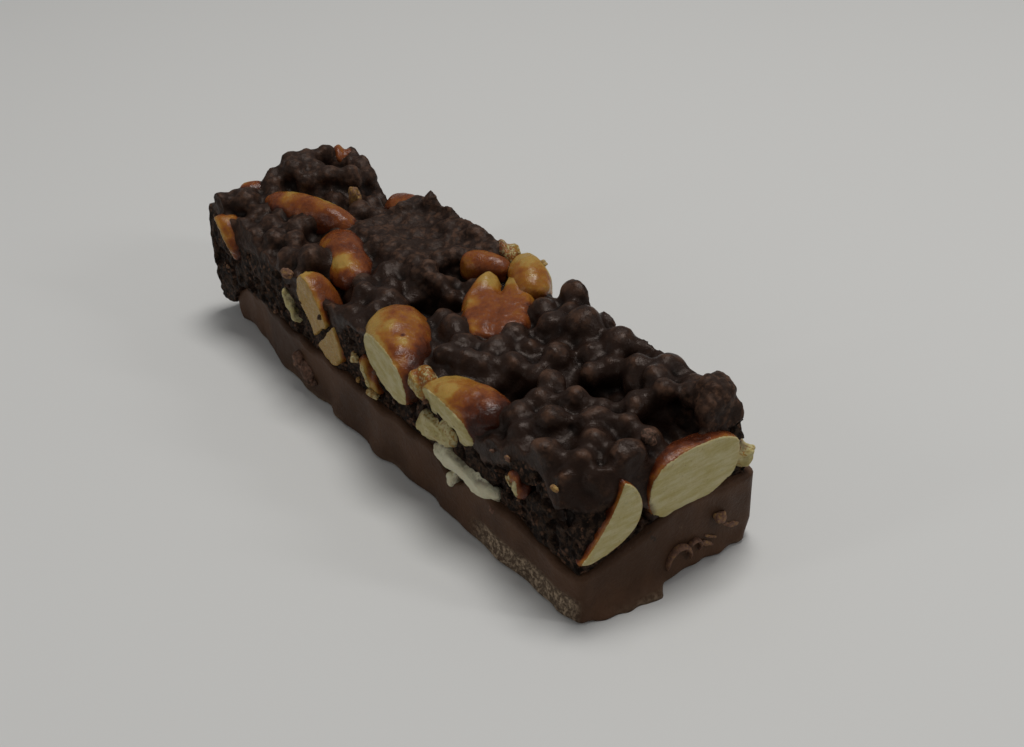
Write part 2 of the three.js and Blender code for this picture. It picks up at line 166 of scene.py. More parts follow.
# Peanuts, each with its kind, middle, size and turn in degrees about Z, about Y and about its own
# length. Some have a taper, a fullness, a cleft or the stretch of the length that is left.
WHOLE, HALF, CHUNK = "whole", "half", "chunk"
PEANUTS = {
    "peanut_end_oval": dict(kind=WHOLE, at=(48.7, 4.3, 14.9), size=(15, 9.6, 8.2), turn=(90, -4, 90)),
    "peanut_end_wedge": dict(kind=HALF, at=(48.1, -9.9, 13.7), size=(11.8, 7.4, 10.4),
                             turn=(90, -54, 180), taper=-0.35, fullness=1.7, hollow=0.9),
    "peanut_split": dict(kind=WHOLE, at=(7.4, 4.4, 17.9), size=(17, 11, 9), turn=(138, -4, 0),
                         taper=-0.04, fullness=3.4, cleft=0, notch=1.5),
    "peanut_side_large": dict(kind=WHOLE, at=(5.5, -11, 16.5), size=(17.6, 10.2, 10.2),
                              turn=(-28, 3, 90)),
    "peanut_side_near": dict(kind=WHOLE, at=(22.4, -11.2, 16.2), size=(15.4, 8, 9), turn=(12, -8, 90)),
    "peanut_ridge": dict(kind=HALF, at=(-36, -2.3, 18.9), size=(21, 7, 9), turn=(15, -7, 20)),
    "peanut_bend": dict(kind=HALF, at=(-21.2, -3.9, 17.2), size=(17, 8.2, 8.2), turn=(-18, 0, -12)),
    "peanut_side_upper": dict(kind=WHOLE, at=(-14, -12.9, 14.4), size=(14.4, 5.8, 8),
                              turn=(4, 52, 90), span=(-7.2, 1.6)),
    "peanut_side_lower": dict(kind=WHOLE, at=(-13.6, -12.8, 15), size=(17, 8.6, 7.4),
                              turn=(4, 44, 90), span=(2.9, 9)),
    "peanut_back_edge": dict(kind=WHOLE, at=(4.9, 11.9, 19.6), size=(11.4, 7.4, 6.8), turn=(-32, 0, 90)),
    "peanut_back_left": dict(kind=WHOLE, at=(-26.8, 12, 18), size=(12.6, 7.4, 6.6), turn=(6, 0, 90)),
    "peanut_behind": dict(kind=WHOLE, at=(-2.2, 9.2, 20.1), size=(8.6, 5.4, 5), turn=(30, 0, 90)),
    "peanut_far_edge": dict(kind=WHOLE, at=(-47.7, -5.9, 20.9), size=(5, 3.4, 3.4), turn=(62, 0, 90)),
    "peanut_far_side": dict(kind=WHOLE, at=(-44.2, -12.2, 15.9), size=(8.8, 5.6, 6.4),
                            turn=(6, 30, 90)),
    "peanut_far_top": dict(kind=CHUNK, at=(-47.6, 10.6, 22.3), size=(4.6, 4, 4), turn=(20, 0, 0)),
    "peanut_fleck": dict(kind=CHUNK, at=(-2.6, 13.3, 21), size=(5, 3.6, 4), turn=(30, 0, 0)),
    "peanut_side_sliver": dict(kind=CHUNK, at=(-22.6, -13, 13.2), size=(5.6, 3, 2), turn=(0, 52, 0)),
    "peanut_side_crumb": dict(kind=CHUNK, at=(0.4, -12.8, 11.9), size=(6.4, 3.2, 2.6), turn=(0, 46, 0)),
    "peanut_between": dict(kind=CHUNK, at=(14.5, -12.3, 17.1), size=(5.8, 4, 4), turn=(20, 10, 0)),
    "peanut_under": dict(kind=CHUNK, at=(18, -12.8, 12.2), size=(9.6, 4, 4), turn=(0, -10, 0)),
    "peanut_cut_sliver": dict(kind=CHUNK, at=(24.2, -12.6, 8.9), size=(15, 4.4, 2.8), turn=(0, 2, 0)),
    "peanut_cut_fork": dict(kind=CHUNK, at=(21.6, -13.2, 6.3), size=(3.8, 2.6, 1.8), turn=(0, -58, 0)),
    "peanut_side_chip": dict(kind=CHUNK, at=(36.2, -13, 13.9), size=(4, 2.4, 2.4), turn=(0, 50, 0)),
    "peanut_corner_chip": dict(kind=CHUNK, at=(47.6, 12.9, 13.4), size=(3.6, 3.2, 3), turn=(0, 20, 0)),
    "peanut_back_near": dict(kind=WHOLE, at=(29, 11.6, 13.6), size=(16, 9, 8.6), turn=(4, -12, 90)),
    "peanut_back_middle": dict(kind=HALF, at=(12.4, 12.6, 13.2), size=(13, 8.4, 8), turn=(28, -24, 40)),
    "peanut_back_far": dict(kind=WHOLE, at=(-14.5, 12, 13.4), size=(16, 9, 8), turn=(-8, 16, 90)),
    "peanut_far_cut": dict(kind=WHOLE, at=(-46.9, 4.2, 13.4), size=(15, 8.6, 8.4), turn=(88, 8, 90)),
}
GERM_TAPER = 0.13
FULLNESS = 2.5
SEAM_DEPTH = 0.06
GERM_DEPTH = 0.3
GERM_DIMPLE = 0.3
SEAM_HALF_ANGLE = 0.34
HALF_FLOOR = -0.06
CHUNK_ROUGHNESS = 0.16


def smoothstep(value, low, high):
    """An eased step from 0 at one value to 1 at another."""
    share = np.clip((value - low) / (high - low), 0.0, 1.0)
    return share * share * (3.0 - 2.0 * share)


def hill(x, y, form):
    """Height that one lump or dip adds at a place."""
    at_x, at_y, reach_x, reach_y, height = form
    away = ((x - at_x) / reach_x) ** 2 + ((y - at_y) / reach_y) ** 2
    return height * np.exp(-(away ** 1.5))


def milk_top(x, y):
    """Height of the slab's top: higher across the near end, lower at the far end."""
    near_end = smoothstep(x, 30, 47) * smoothstep(y, -9, 2) * 2.4
    near_side = -1.3 * smoothstep(x, 32, 44) * smoothstep(-y, 6, 13)
    dip = hill(x, y, (22, -14, 2.6, 3, -2.2))
    far_end = -2.4 * smoothstep(-x, 38, 47) * smoothstep(-y, 2, 12)
    return MILK_TOP + near_end + near_side + dip + far_end + 0.25 * np.sin(x * 0.9 + y * 0.4)


def on_crust(x, y):
    """1 on the crust, fading to 0 over its rim."""
    along = smoothstep(CRUST_HALF_X + CRUST_RIM - np.abs(x - CRUST_X), 0, CRUST_RIM)
    across = smoothstep(CRUST_HALF_Y + CRUST_RIM - np.abs(y - CRUST_Y), 0, CRUST_RIM)
    return along * across


def mass_top(x, y):
    """Height of the crisped layer before crisps are added and hollows are cut."""
    forms = sum(hill(x, y, form) for form in TOP_FORMS)
    ripple = 0.35 * np.sin(x * 1.3) * np.cos(y * 1.1)
    return MASS_TOP + forms + CRUST_RISE * on_crust(x, y) + ripple


def far_drape(x, y):
    """1 at the far corner of the near side, where the crisped layer hangs over the slab."""
    return smoothstep(-x, 42, 47) * smoothstep(-y, 3, 10)


def side_wave(x):
    """How far the slab's sides stand out, with the recess towards the far end."""
    far_recess = -2.3 * smoothstep(-x, 20, 40)
    return far_recess + 0.3 * np.sin(x * 0.62) + 0.22 * np.sin(x * 0.23 + 1) + 0.2


def end_lip(y):
    """The thin lip that ran out under the near end before it set."""
    return 1.7 * smoothstep(y, -14, -5) * (1 - smoothstep(y, -2.4, -0.6)) + 0.2 * np.sin(y * 1.7)


def grain(points, size, seed=0):
    """Smooth noise from -1 to 1 at points in millimetres, with lumps of the given size."""
    cell = np.floor(points / size)
    part = points / size - cell
    ease = part * part * (3.0 - 2.0 * part)
    total = np.zeros(len(points))
    for corner in itertools.product((0, 1), repeat=3):
        wave = np.sin((cell + corner) @ (127.1, 311.7, 74.7) + seed * 19.19) * 43758.5453
        share = np.prod(np.where(corner, ease, 1.0 - ease), axis=1)
        total += share * (wave - np.floor(wave))
    return 2.0 * total - 1.0


# Mesh helpers

def start_piece(name):
    """Takes the new active object as a piece of the given name."""
    piece = bpy.context.object
    piece.name = piece.data.name = name
    return piece


def select_only(*pieces):
    bpy.ops.object.select_all(action="DESELECT")
    for piece in pieces:
        piece.select_set(True)
    bpy.context.view_layer.objects.active = pieces[0]


def points_of(piece):
    """The piece's vertices in millimetres."""
    flat = np.empty(len(piece.data.vertices) * 3, dtype=np.float32)
    piece.data.vertices.foreach_get("co", flat)
    return flat.reshape(-1, 3).astype(float) / MM


def normals_of(piece):
    flat = np.empty(len(piece.data.vertices) * 3, dtype=np.float32)
    piece.data.vertex_normals.foreach_get("vector", flat)
    return flat.reshape(-1, 3).astype(float)


def place_points(piece, points):
    piece.data.vertices.foreach_set("co", (points * MM).astype(np.float32).ravel())
    piece.data.update()


def store(piece, name, values):
    """Keeps one number per vertex on the piece, for its material."""
    layer = piece.data.attributes.get(name) or piece.data.attributes.new(name, "FLOAT", "POINT")
    layer.data.foreach_set("value", np.asarray(values, dtype=np.float32))


def apply_modifier(piece, kind, **settings):
    select_only(piece)
    modifier = piece.modifiers.new(kind.title(), kind)
    for name, value in settings.items():
        setattr(modifier, name, value)
    bpy.ops.object.modifier_apply(modifier=modifier.name)


def remesh(piece, voxel):
    apply_modifier(piece, "REMESH", mode="VOXEL", voxel_size=voxel * MM, use_smooth_shade=True)


def soften(piece, times):
    apply_modifier(piece, "SMOOTH", iterations=times, factor=0.5)


def thin_out(piece, most_triangles):
    """Drops the faces that add least until the piece has at most the given triangles."""
    count = sum(len(face.vertices) - 2 for face in piece.data.polygons)
    if count > most_triangles:
        apply_modifier(piece, "DECIMATE", ratio=most_triangles / count)


def drop_specks(piece):
    """Deletes whatever isn't joined to the piece's lowest vertex."""
    select_only(piece)
    bpy.ops.object.mode_set(mode="EDIT")
    bpy.ops.mesh.select_mode(type="VERT")
    bpy.ops.mesh.select_all(action="DESELECT")
    bpy.ops.object.mode_set(mode="OBJECT")
    piece.data.vertices[int(points_of(piece)[:, 2].argmin())].select = True
    bpy.ops.object.mode_set(mode="EDIT")
    bpy.ops.mesh.select_linked()
    bpy.ops.mesh.select_all(action="INVERT")
    bpy.ops.mesh.delete(type="VERT")
    bpy.ops.object.mode_set(mode="OBJECT")


def finish_piece(piece, material, slot, *nodes):
    """Gives the piece its material, and ties it to the frame."""
    piece.data.materials.clear()
    piece.data.materials.append(material)
    select_only(piece)
    bpy.ops.object.shade_smooth()
    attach(piece, "root")
    if nodes:
        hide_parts(*nodes)


def unit_block(name, along, across, up):
    """A closed block from -1 to 1 along X and Y and 0 to 1 along Z, cut into a grid of quads."""
    bpy.ops.mesh.primitive_cube_add(size=1, location=(0, 0, 0.5))
    block = start_piece(name)
    block.scale = (2, 2, 1)
    bpy.ops.object.transform_apply(location=True, rotation=False, scale=True)
    for axis, cuts in enumerate((along, across, up)):
        mark_edges_along(block, axis)
        bpy.ops.object.mode_set(mode="EDIT")
        bpy.ops.mesh.subdivide(number_cuts=cuts - 1)
        bpy.ops.object.mode_set(mode="OBJECT")
    return block


def mark_edges_along(piece, axis):
    """Selects the edges that run along one axis, and nothing else."""
    bpy.ops.object.mode_set(mode="EDIT")
    bpy.ops.mesh.select_mode(type="EDGE")
    bpy.ops.mesh.select_all(action="DESELECT")
    bpy.ops.object.mode_set(mode="OBJECT")
    vertices = piece.data.vertices
    for edge in piece.data.edges:
        run = vertices[edge.vertices[0]].co - vertices[edge.vertices[1]].co
        edge.select = abs(run[axis]) > 0.9 * run.length


# Material helpers

def new_material(name):
    material = bpy.data.materials.new(name)
    material.use_nodes = True
    tree = material.node_tree
    shader = next(node for node in tree.nodes if node.type == "BSDF_PRINCIPLED")
    return material, tree, shader


def add_node(tree, kind, inputs=None, **settings):
    node = tree.nodes.new(kind)
    for name, value in settings.items():
        setattr(node, name, value)
    for socket, value in (inputs or {}).items():
        if isinstance(value, bpy.types.NodeSocket):
            tree.links.new(value, node.inputs[socket])
        else:
            node.inputs[socket].default_value = value
    return node


def place_in_object(tree, stretch=(1, 1, 1)):
    """The object's own coordinates, stretched along some axes."""
    source = add_node(tree, "ShaderNodeTexCoord")
    inputs = {"Vector": source.outputs["Object"], "Scale": stretch}
    return add_node(tree, "ShaderNodeMapping", inputs).outputs[0]


def noise(tree, place, lump, detail=3.0, rough=0.55, twist=0.0):
    """Noise from 0 to 1 with lumps of the given size in millimetres."""
    inputs = {"Vector": place, "Scale": 1.0 / (lump * MM), "Detail": detail, "Roughness": rough,
              "Distortion": twist}
    return add_node(tree, "ShaderNodeTexNoise", inputs).outputs["Fac"]


def cells(tree, place, lump):
    """Distance from the middle of cells of the given size in millimetres."""
    inputs = {"Vector": place, "Scale": 1.0 / (lump * MM)}
    return add_node(tree, "ShaderNodeTexVoronoi", inputs, feature="F1").outputs["Distance"]


def ramp(tree, value, low, high, to_low=0.0, to_high=1.0):
    """Maps a value from one range to another with an eased step."""
    inputs = {"Value": value, "From Min": low, "From Max": high, "To Min": to_low, "To Max": to_high}
    return add_node(tree, "ShaderNodeMapRange", inputs, interpolation_type="SMOOTHSTEP").outputs[0]


def combine(tree, operation, first, second):
    return add_node(tree, "ShaderNodeMath", {0: first, 1: second}, operation=operation).outputs[0]


def mix(tree, share, first, second):
    """Blends two colours; share 0 gives the first and 1 the second."""
    node = add_node(tree, "ShaderNodeMix", data_type="RGBA", blend_type="MIX")
    for index, value in ((0, share), (6, first), (7, second)):
        if isinstance(value, bpy.types.NodeSocket):
            tree.links.new(value, node.inputs[index])
        elif index:
            node.inputs[index].default_value = (*value, 1.0)
        else:
            node.inputs[index].default_value = value
    return node.outputs[2]


def stored(tree, name):
    return add_node(tree, "ShaderNodeAttribute", attribute_name=name).outputs["Fac"]


def bump(tree, height, depth, strength=1.0, normal=None):
    """Relief of the given depth in millimetres, on top of an earlier relief if there is one."""
    inputs = {"Height": height, "Strength": strength, "Distance": depth * MM}
    if normal is not None:
        inputs["Normal"] = normal
    return add_node(tree, "ShaderNodeBump", inputs).outputs[0]


def link(tree, output, shader, socket):
    tree.links.new(output, shader.inputs[socket])


# Settings

class SlabSettings(PropertyGroup):
    flute_depth: FloatProperty(
        name="Flute depth", description="Depth of the soft upright waves in the slab's sides",
        default=0.2 * MM, min=0, unit="LENGTH", precision=5)
    edge_round: FloatProperty(
        name="Edge rounding", description="Radius of the slab's lower and upper edges",
        default=0.5 * MM, min=0, unit="LENGTH", precision=5)
    milk_colour: FloatVectorProperty(
        name="Milk chocolate", description="Colour of the slab",
        default=(0.067, 0.034, 0.019), size=3, min=0, max=1, subtype="COLOR")
    scuff_colour: FloatVectorProperty(
        name="Scuffs", description="Colour of the slab where it was rubbed or scraped",
        default=(0.34, 0.25, 0.17), size=3, min=0, max=1, subtype="COLOR")


class CrispSettings(PropertyGroup):
    smallest_crisp: FloatProperty(
        name="Smallest crisp", description="Radius of the smallest coated crisps",
        default=1.4 * MM, min=0.0005, unit="LENGTH", precision=5)
    largest_crisp: FloatProperty(
        name="Largest crisp", description="Radius of the largest coated crisps",
        default=2.25 * MM, min=0.0005, unit="LENGTH", precision=5)
    film: FloatProperty(
        name="Film", description="Radius of the chocolate that fills the creases between crisps",
        default=0.48 * MM, min=0, unit="LENGTH", precision=5)
    seed: IntProperty(name="Scatter", description="Number that fixes where the crisps lie", default=7)
    glaze_colour: FloatVectorProperty(
        name="Glaze", description="Colour of the dark chocolate over the crisps",
        default=(0.019, 0.0098, 0.0066), size=3, min=0, max=1, subtype="COLOR")
    husk_colour: FloatVectorProperty(
        name="Thin glaze", description="Colour where the crisped rice shows through the glaze",
        default=(0.082, 0.041, 0.0245), size=3, min=0, max=1, subtype="COLOR")
    crumb_colour: FloatVectorProperty(
        name="Sliced crumb", description="Colour of the sliced sides",
        default=(0.052, 0.03, 0.0185), size=3, min=0, max=1, subtype="COLOR")


class PeanutSettings(PropertyGroup):
    straw: FloatVectorProperty(
        name="Straw", description="Colour of the lightest skin",
        default=(0.34, 0.205, 0.047), size=3, min=0, max=1, subtype="COLOR")
    gold: FloatVectorProperty(
        name="Gold", description="Colour of light glazed skin",
        default=(0.27, 0.105, 0.013), size=3, min=0, max=1, subtype="COLOR")
    orange: FloatVectorProperty(
        name="Orange", description="Colour of the middling glazed skin",
        default=(0.175, 0.046, 0.01), size=3, min=0, max=1, subtype="COLOR")
    red_brown: FloatVectorProperty(
        name="Red-brown", description="Colour of the darkest glazed skin",
        default=(0.08, 0.018, 0.006), size=3, min=0, max=1, subtype="COLOR")
    flesh: FloatVectorProperty(
        name="Flesh", description="Colour of the sliced nut",
        default=(0.53, 0.47, 0.26), size=3, min=0, max=1, subtype="COLOR")
    bleached: FloatVectorProperty(
        name="Bleached flesh", description="Colour of the driest, whitest slivers of nut",
        default=(0.76, 0.74, 0.58), size=3, min=0, max=1, subtype="COLOR")
    film_reach: FloatProperty(
        name="Film reach", description="How far the chocolate film darkens a nut from its edge",
        default=1.1 * MM, min=0, unit="LENGTH", precision=5)


class FlakeSettings(PropertyGroup):
    pale_crumb: FloatVectorProperty(
        name="Pale crumb", description="Colour of the palest crumbs of nut",
        default=(0.5, 0.44, 0.24), size=3, min=0, max=1, subtype="COLOR")
    golden_crumb: FloatVectorProperty(
        name="Golden crumb", description="Colour of crumbs of nut with skin on them",
        default=(0.3, 0.17, 0.045), size=3, min=0, max=1, subtype="COLOR")
    tan_crumb: FloatVectorProperty(
        name="Tan flake", description="Colour of scraped milk chocolate",
        default=(0.165, 0.084, 0.055), size=3, min=0, max=1, subtype="COLOR")
    dark_crumb: FloatVectorProperty(
        name="Dark crumb", description="Colour of the darkest crumbs",
        default=(0.035, 0.02, 0.012), size=3, min=0, max=1, subtype="COLOR")
    seed: IntProperty(name="Scatter", description="Number that fixes where small crumbs lie", default=5)


class StageSettings(PropertyGroup):
    floor_colour: FloatVectorProperty(
        name="Floor", description="Colour of the floor",
        default=(0.6, 0.6, 0.59), size=3, min=0, max=1, subtype="COLOR")
    sky: FloatProperty(
        name="Room light", description="Strength of the even light from all round",
        default=0.2, min=0)
    ceiling: FloatProperty(
        name="Ceiling light", description="Power of the large soft light over the bar",
        default=3.0, min=0, unit="POWER")
    window: FloatProperty(
        name="Window light", description="Power of the narrow light beside the bar",
        default=0.25, min=0, unit="POWER")
    lens: FloatProperty(
        name="Lens", description="Focal length of the camera",
        default=47.23, min=1, unit="CAMERA")


# The milk chocolate slab

def round_corners(x, y, radius):
    """Bends a rectangle's corners onto quarter circles, leaving its straight sides alone."""
    over_x = np.maximum(np.abs(x) - (HALF_LENGTH - radius), 0)
    over_y = np.maximum(np.abs(y) - (HALF_WIDTH - radius), 0)
    away = np.maximum(np.hypot(over_x, over_y), 1e-6)
    shrink = np.maximum(over_x, over_y) / away
    return x - np.sign(x) * over_x * (1 - shrink), y - np.sign(y) * over_y * (1 - shrink)


def shape_slab(unit, flute_depth, edge_round):
    """Bends the unit block's points into the slab, in millimetres."""
    u, v, w = unit.T
    x, y = round_corners(u * HALF_LENGTH, v * HALF_WIDTH, SLAB_CORNER)
    top = milk_top(x, y) - SLAB_CLEARANCE
    z = w * top
    foot = np.clip(1 - z / FOOT_HEIGHT, 0, 1) ** 1.3
    rim = np.clip(1 - z / edge_round, 0, 1)
    brow = np.clip(1 - (top - z) / edge_round, 0, 1)
    tuck = edge_round * (2 - np.sqrt(1 - rim ** 2) - np.sqrt(1 - brow ** 2))
    at_end = smoothstep(np.abs(u), 0.9, 1)
    at_side = smoothstep(np.abs(v), 0.8, 1)
    along = np.stack([x, np.zeros_like(x), w * 2], 1)
    across = np.stack([y + 40, np.zeros_like(y), w * 2], 1)
    ragged = 0.45 * grain(across, 1.7, 3) * foot
    flutes = flute_depth * (1.2 * grain(along, 4.6, 1) + 0.6 * grain(along, 1.9, 2))
    end_flutes = flute_depth * (0.9 * grain(across, 4.2, 4) + 0.4 * grain(across, 1.6, 5))
    foot_edge = 0.3 * grain(along, 2.4, 6) * foot ** 2
    near = np.where(u > 0, foot * FOOT_SPREAD + foot ** 1.6 * (end_lip(y) + ragged), 0)
    far = np.where(u < 0, 3 * smoothstep(-y, 2, 12), 0)
    x = x + at_end * (near + far) + np.sign(u) * at_end * (end_flutes - tuck)
    side = side_wave(x) * (0.6 + 0.4 * foot) + FOOT_SPREAD * foot
    y = y + v * side + np.sign(v) * at_side * (flutes + foot_edge - tuck)
    y = y + 1.5 * smoothstep(x, 40, 47) * smoothstep(y, 8, 14) * smoothstep(z, 0, 3)
    return np.stack([x, y, np.maximum(z, 0)], 1)


def milk_material(settings):
    material, tree, shader = new_material("milk_chocolate_satin")
    place = place_in_object(tree)
    clouds = noise(tree, place, 9, 4)
    light = tuple(1.3 * c for c in settings.milk_colour)
    dark = tuple(0.8 * c for c in settings.milk_colour)
    colour = mix(tree, ramp(tree, clouds, 0.35, 0.65), dark, light)
    fine = noise(tree, place, 0.5, 4, 0.65)
    granules = ramp(tree, noise(tree, place, 0.6, 6, 0.8), 0.38, 0.54, 0.24, 1.0)
    rubbed = combine(tree, "MULTIPLY", stored(tree, "scuffed"), granules)
    scratch_place = place_in_object(tree, (3.0, 1, 0.35))
    scratches = ramp(tree, noise(tree, scratch_place, 1.1, 5, 0.7), 0.69, 0.76, 0, 0.4)
    tan = combine(tree, "MAXIMUM", rubbed, scratches)
    link(tree, mix(tree, tan, colour, settings.scuff_colour), shader, "Base Color")
    shine = ramp(tree, noise(tree, place, 2.2, 3), 0.3, 0.7, 0.4, 0.54)
    rough = combine(tree, "ADD", shine, combine(tree, "MULTIPLY", tan, 0.3))
    link(tree, rough, shader, "Roughness")
    shader.inputs["Specular IOR Level"].default_value = 0.12
    shader.inputs["Specular Tint"].default_value = (1, 0.86, 0.78, 1)
    waves = bump(tree, noise(tree, place, 2.4, 3), 0.25, 0.5)
    grit = combine(tree, "ADD", combine(tree, "MULTIPLY", fine, 0.4), combine(tree, "MULTIPLY", rubbed, 1.4))
    relief = bump(tree, grit, 0.4, 0.8, waves)
    link(tree, relief, shader, "Normal")
    return material


class BAR_OT_slab(Operator):
    """Make the milk chocolate slab, with its spread foot, the lip under the end and its flutes"""
    bl_idname = "bar.slab"
    bl_label = "Milk chocolate slab"

    def execute(self, context):
        settings = context.scene.bar_slab
        slab = unit_block("milk_slab", 250, 70, 22)
        unit = points_of(slab) * MM
        place_points(slab, shape_slab(unit, settings.flute_depth / MM, settings.edge_round / MM))
        points = points_of(slab)
        x, y, z = points.T
        outer = smoothstep(-y, 12.2, 13.4)
        band = outer * smoothstep(x, 25, 31) * (1 - smoothstep(x, 47.4, 48.8))
        band = band * (1 - smoothstep(z, 2.6 + 0.7 * grain(points, 3, 8), 3.9))
        low_rub = 0.4 * smoothstep(-z, -1.1, -0.2) * smoothstep(grain(points, 4, 9), 0, 0.6)
        store(slab, "scuffed", np.maximum(band, low_rub))
        finish_piece(slab, milk_material(settings), "milk_chocolate", "milk_layer")
        return {"FINISHED"}


# The crisped layer

def turn_of(row):
    """A nut's turn as a matrix."""
    about_z, about_y, about_length = (math.radians(angle) for angle in row["turn"])
    return Euler((about_length, about_y, about_z), "XYZ").to_matrix()


def nut_outline(along, fullness, taper):
    """Share of the full radius that a nut has at a place along its length, from -1 to 1."""
    full = np.maximum(0, 1 - np.abs(along) ** fullness) ** (1 / fullness)
    return full * (1 - taper * along)


def depth_in_nuts(points, grow=0.0):
    """How deep each point lies in the peanuts: under 1 inside, 1 on a nut's skin, over 1 outside."""
    least = np.full(len(points), 9.0)
    for row in PEANUTS.values():
        if row["kind"] == CHUNK:
            continue
        local = (points - row["at"]) @ np.array(turn_of(row))
        radii = np.array(row["size"]) / 2 + grow
        along = np.clip(local[:, 0] / radii[0], -1, 1)
        outline = nut_outline(along, row.get("fullness", FULLNESS), row.get("taper", GERM_TAPER))
        ratio = np.hypot(local[:, 1] / radii[1], local[:, 2] / radii[2]) / np.maximum(outline, 1e-3)
        ratio = np.where(np.abs(local[:, 0]) >= radii[0], 9.0, ratio)
        if row["kind"] == HALF:
            ratio = np.where(local[:, 2] < HALF_FLOOR * row["size"][2] - grow, 9.0, ratio)
        if "span" in row:
            low, high = row["span"]
            ratio = np.where((local[:, 0] < low - grow) | (local[:, 0] > high + grow), 9.0, ratio)
        least = np.minimum(least, ratio)
    return least


def turned(x, y, turn):
    """A place in axes turned about Z by the given degrees."""
    angle = math.radians(turn)
    return x * math.cos(angle) + y * math.sin(angle), y * math.cos(angle) - x * math.sin(angle)


def in_hollow(x, y):
    """How far a place on the top lies from the nearest hollow's middle, as a share of its reach."""
    least = 9.0
    for at_x, at_y, _, reach_x, reach_y, _, turn in HOLLOWS:
        along, across = turned(x - at_x, y - at_y, turn)
        least = min(least, math.hypot(along / reach_x, across / reach_y))
    return least


def crisp_seats(settings):
    """Middle, radius and random turn of every crisp, the ones seen first."""
    random = np.random.default_rng(settings.seed)
    low, high = settings.smallest_crisp / MM, settings.largest_crisp / MM
    seats = []
    for x, y, radius, stand in CRISPS_ON_TOP:
        seats.append((x, y, float(mass_top(x, y)) + stand * radius, radius * (1.08 if x > 8 else 1)))
    for x, y in random.uniform((-48.6, -13.6), (48.6, 13.6), (CRISP_TRIES, 2)):
        radius = random.uniform(low, high) * (1.15 if x > 8 else 1)
        crust = float(on_crust(x, y))
        z = float(mass_top(x, y)) + radius * (random.uniform(-0.35, 0.3) * (1 - crust) - 0.72 * crust)
        z -= 1.1 * max(0, abs(y) - 12)
        beside = min(math.hypot(x - seat[0], y - seat[1]) / (radius + seat[3]) for seat in seats)
        if in_hollow(x, y) < 1.15 or beside < 0.84:
            continue
        if depth_in_nuts(np.array([[x, y, z]]), 0.67 * radius)[0] > 1:
            seats.append((x, y, z, radius))
    for x, y, z, reach_x, reach_y, reach_z, turn in HOLLOWS:
        count = round(2.6 * reach_x * reach_y)
        for _ in range(count):
            angle = random.uniform(0, 2 * math.pi)
            tilt = random.uniform(-1.35, 0.1)
            radius = random.uniform(low, 0.8 * high)
            local = Vector((reach_x * math.cos(angle) * math.cos(tilt),
                            reach_y * math.sin(angle) * math.cos(tilt), reach_z * math.sin(tilt)))
            spot = Matrix.Rotation(math.radians(turn), 3, "Z") @ local
            out = spot.normalized() * 0.8 * radius
            middle = (x + spot.x + out.x, y + spot.y + out.y, z + spot.z + out.z)
            low_enough = middle[2] < float(mass_top(middle[0], middle[1])) + 0.2
            if low_enough and depth_in_nuts(np.array([middle]), 0.5 * radius)[0] > 1:
                seats.append((*middle, radius))
    return seats, random


def shape_mass(unit, film):
    """Bends the unit block's points into the layer's core, swollen by the film, in millimetres."""
    u, v, w = unit.T
    x = u * HALF_LENGTH
    y = v * HALF_WIDTH
    drape = far_drape(x, y)
    low = milk_top(x, y) - MASS_SINK - DRAPE_DROP * drape
    high = mass_top(x, y)
    for at_x, at_y, at_z, reach_x, reach_y, reach_z, turn in HOLLOWS:
        along, across = turned(x - at_x, y - at_y, turn)
        inside = 1 - (along / (reach_x + film)) ** 2 - (across / (reach_y + film)) ** 2
        floor = at_z - (reach_z + film) * np.sqrt(np.maximum(inside, 0))
        high = np.where(inside > 0, np.minimum(high, floor), high)
    x = x + np.where(np.abs(u) > 0.999, np.sign(u) * film, 0)
    bulge = drape * (DRAPE_OUT + DRAPE_BELLY * np.sin(math.pi * w)) * smoothstep(-u, 0.9, 1)
    z = low + (high - low) * w + np.where(w > 0.999, film, 0)
    return np.stack([x - bulge, y, z], 1)


def crisp_model():
    """One lumpy crisp of radius 1 m, which every crisp is copied from."""
    bpy.ops.mesh.primitive_ico_sphere_add(subdivisions=3, radius=1)
    ball = start_piece("crisp_model")
    points = points_of(ball)
    lumps = 1 + 0.07 * grain(points, 0.9 / MM, 11)
    place_points(ball, points * lumps[:, None])
    return ball


def copy_crisps(model, seats, swell, random):
    """A turned and stretched copy of the crisp for each seat, swollen by the film."""
    copies = []
    for x, y, z, radius in seats:
        turn = Euler(random.uniform(0, 2 * math.pi, 3)).to_matrix().to_4x4()
        reach = (radius + swell) * MM
        long, tall = random.uniform(1.0, 1.22), random.uniform(0.92, 1.05)
        stretch = Matrix.Diagonal((reach * long, reach, reach * tall, 1))
        mesh = model.data.copy()
        mesh.transform(Matrix.Translation((x * MM, y * MM, z * MM)) @ turn @ stretch)
        copy = bpy.data.objects.new("crisp", mesh)
        bpy.context.collection.objects.link(copy)
        copies.append(copy)
    return copies


def broken_plane():
    """The direction that the broken corner faces, and its distance from the origin."""
    first, second, third = (np.array(point, float) for point in BROKEN_CORNER)
    way = np.cross(third - second, first - second)
    way = way / np.linalg.norm(way)
    return way, float(way @ first)


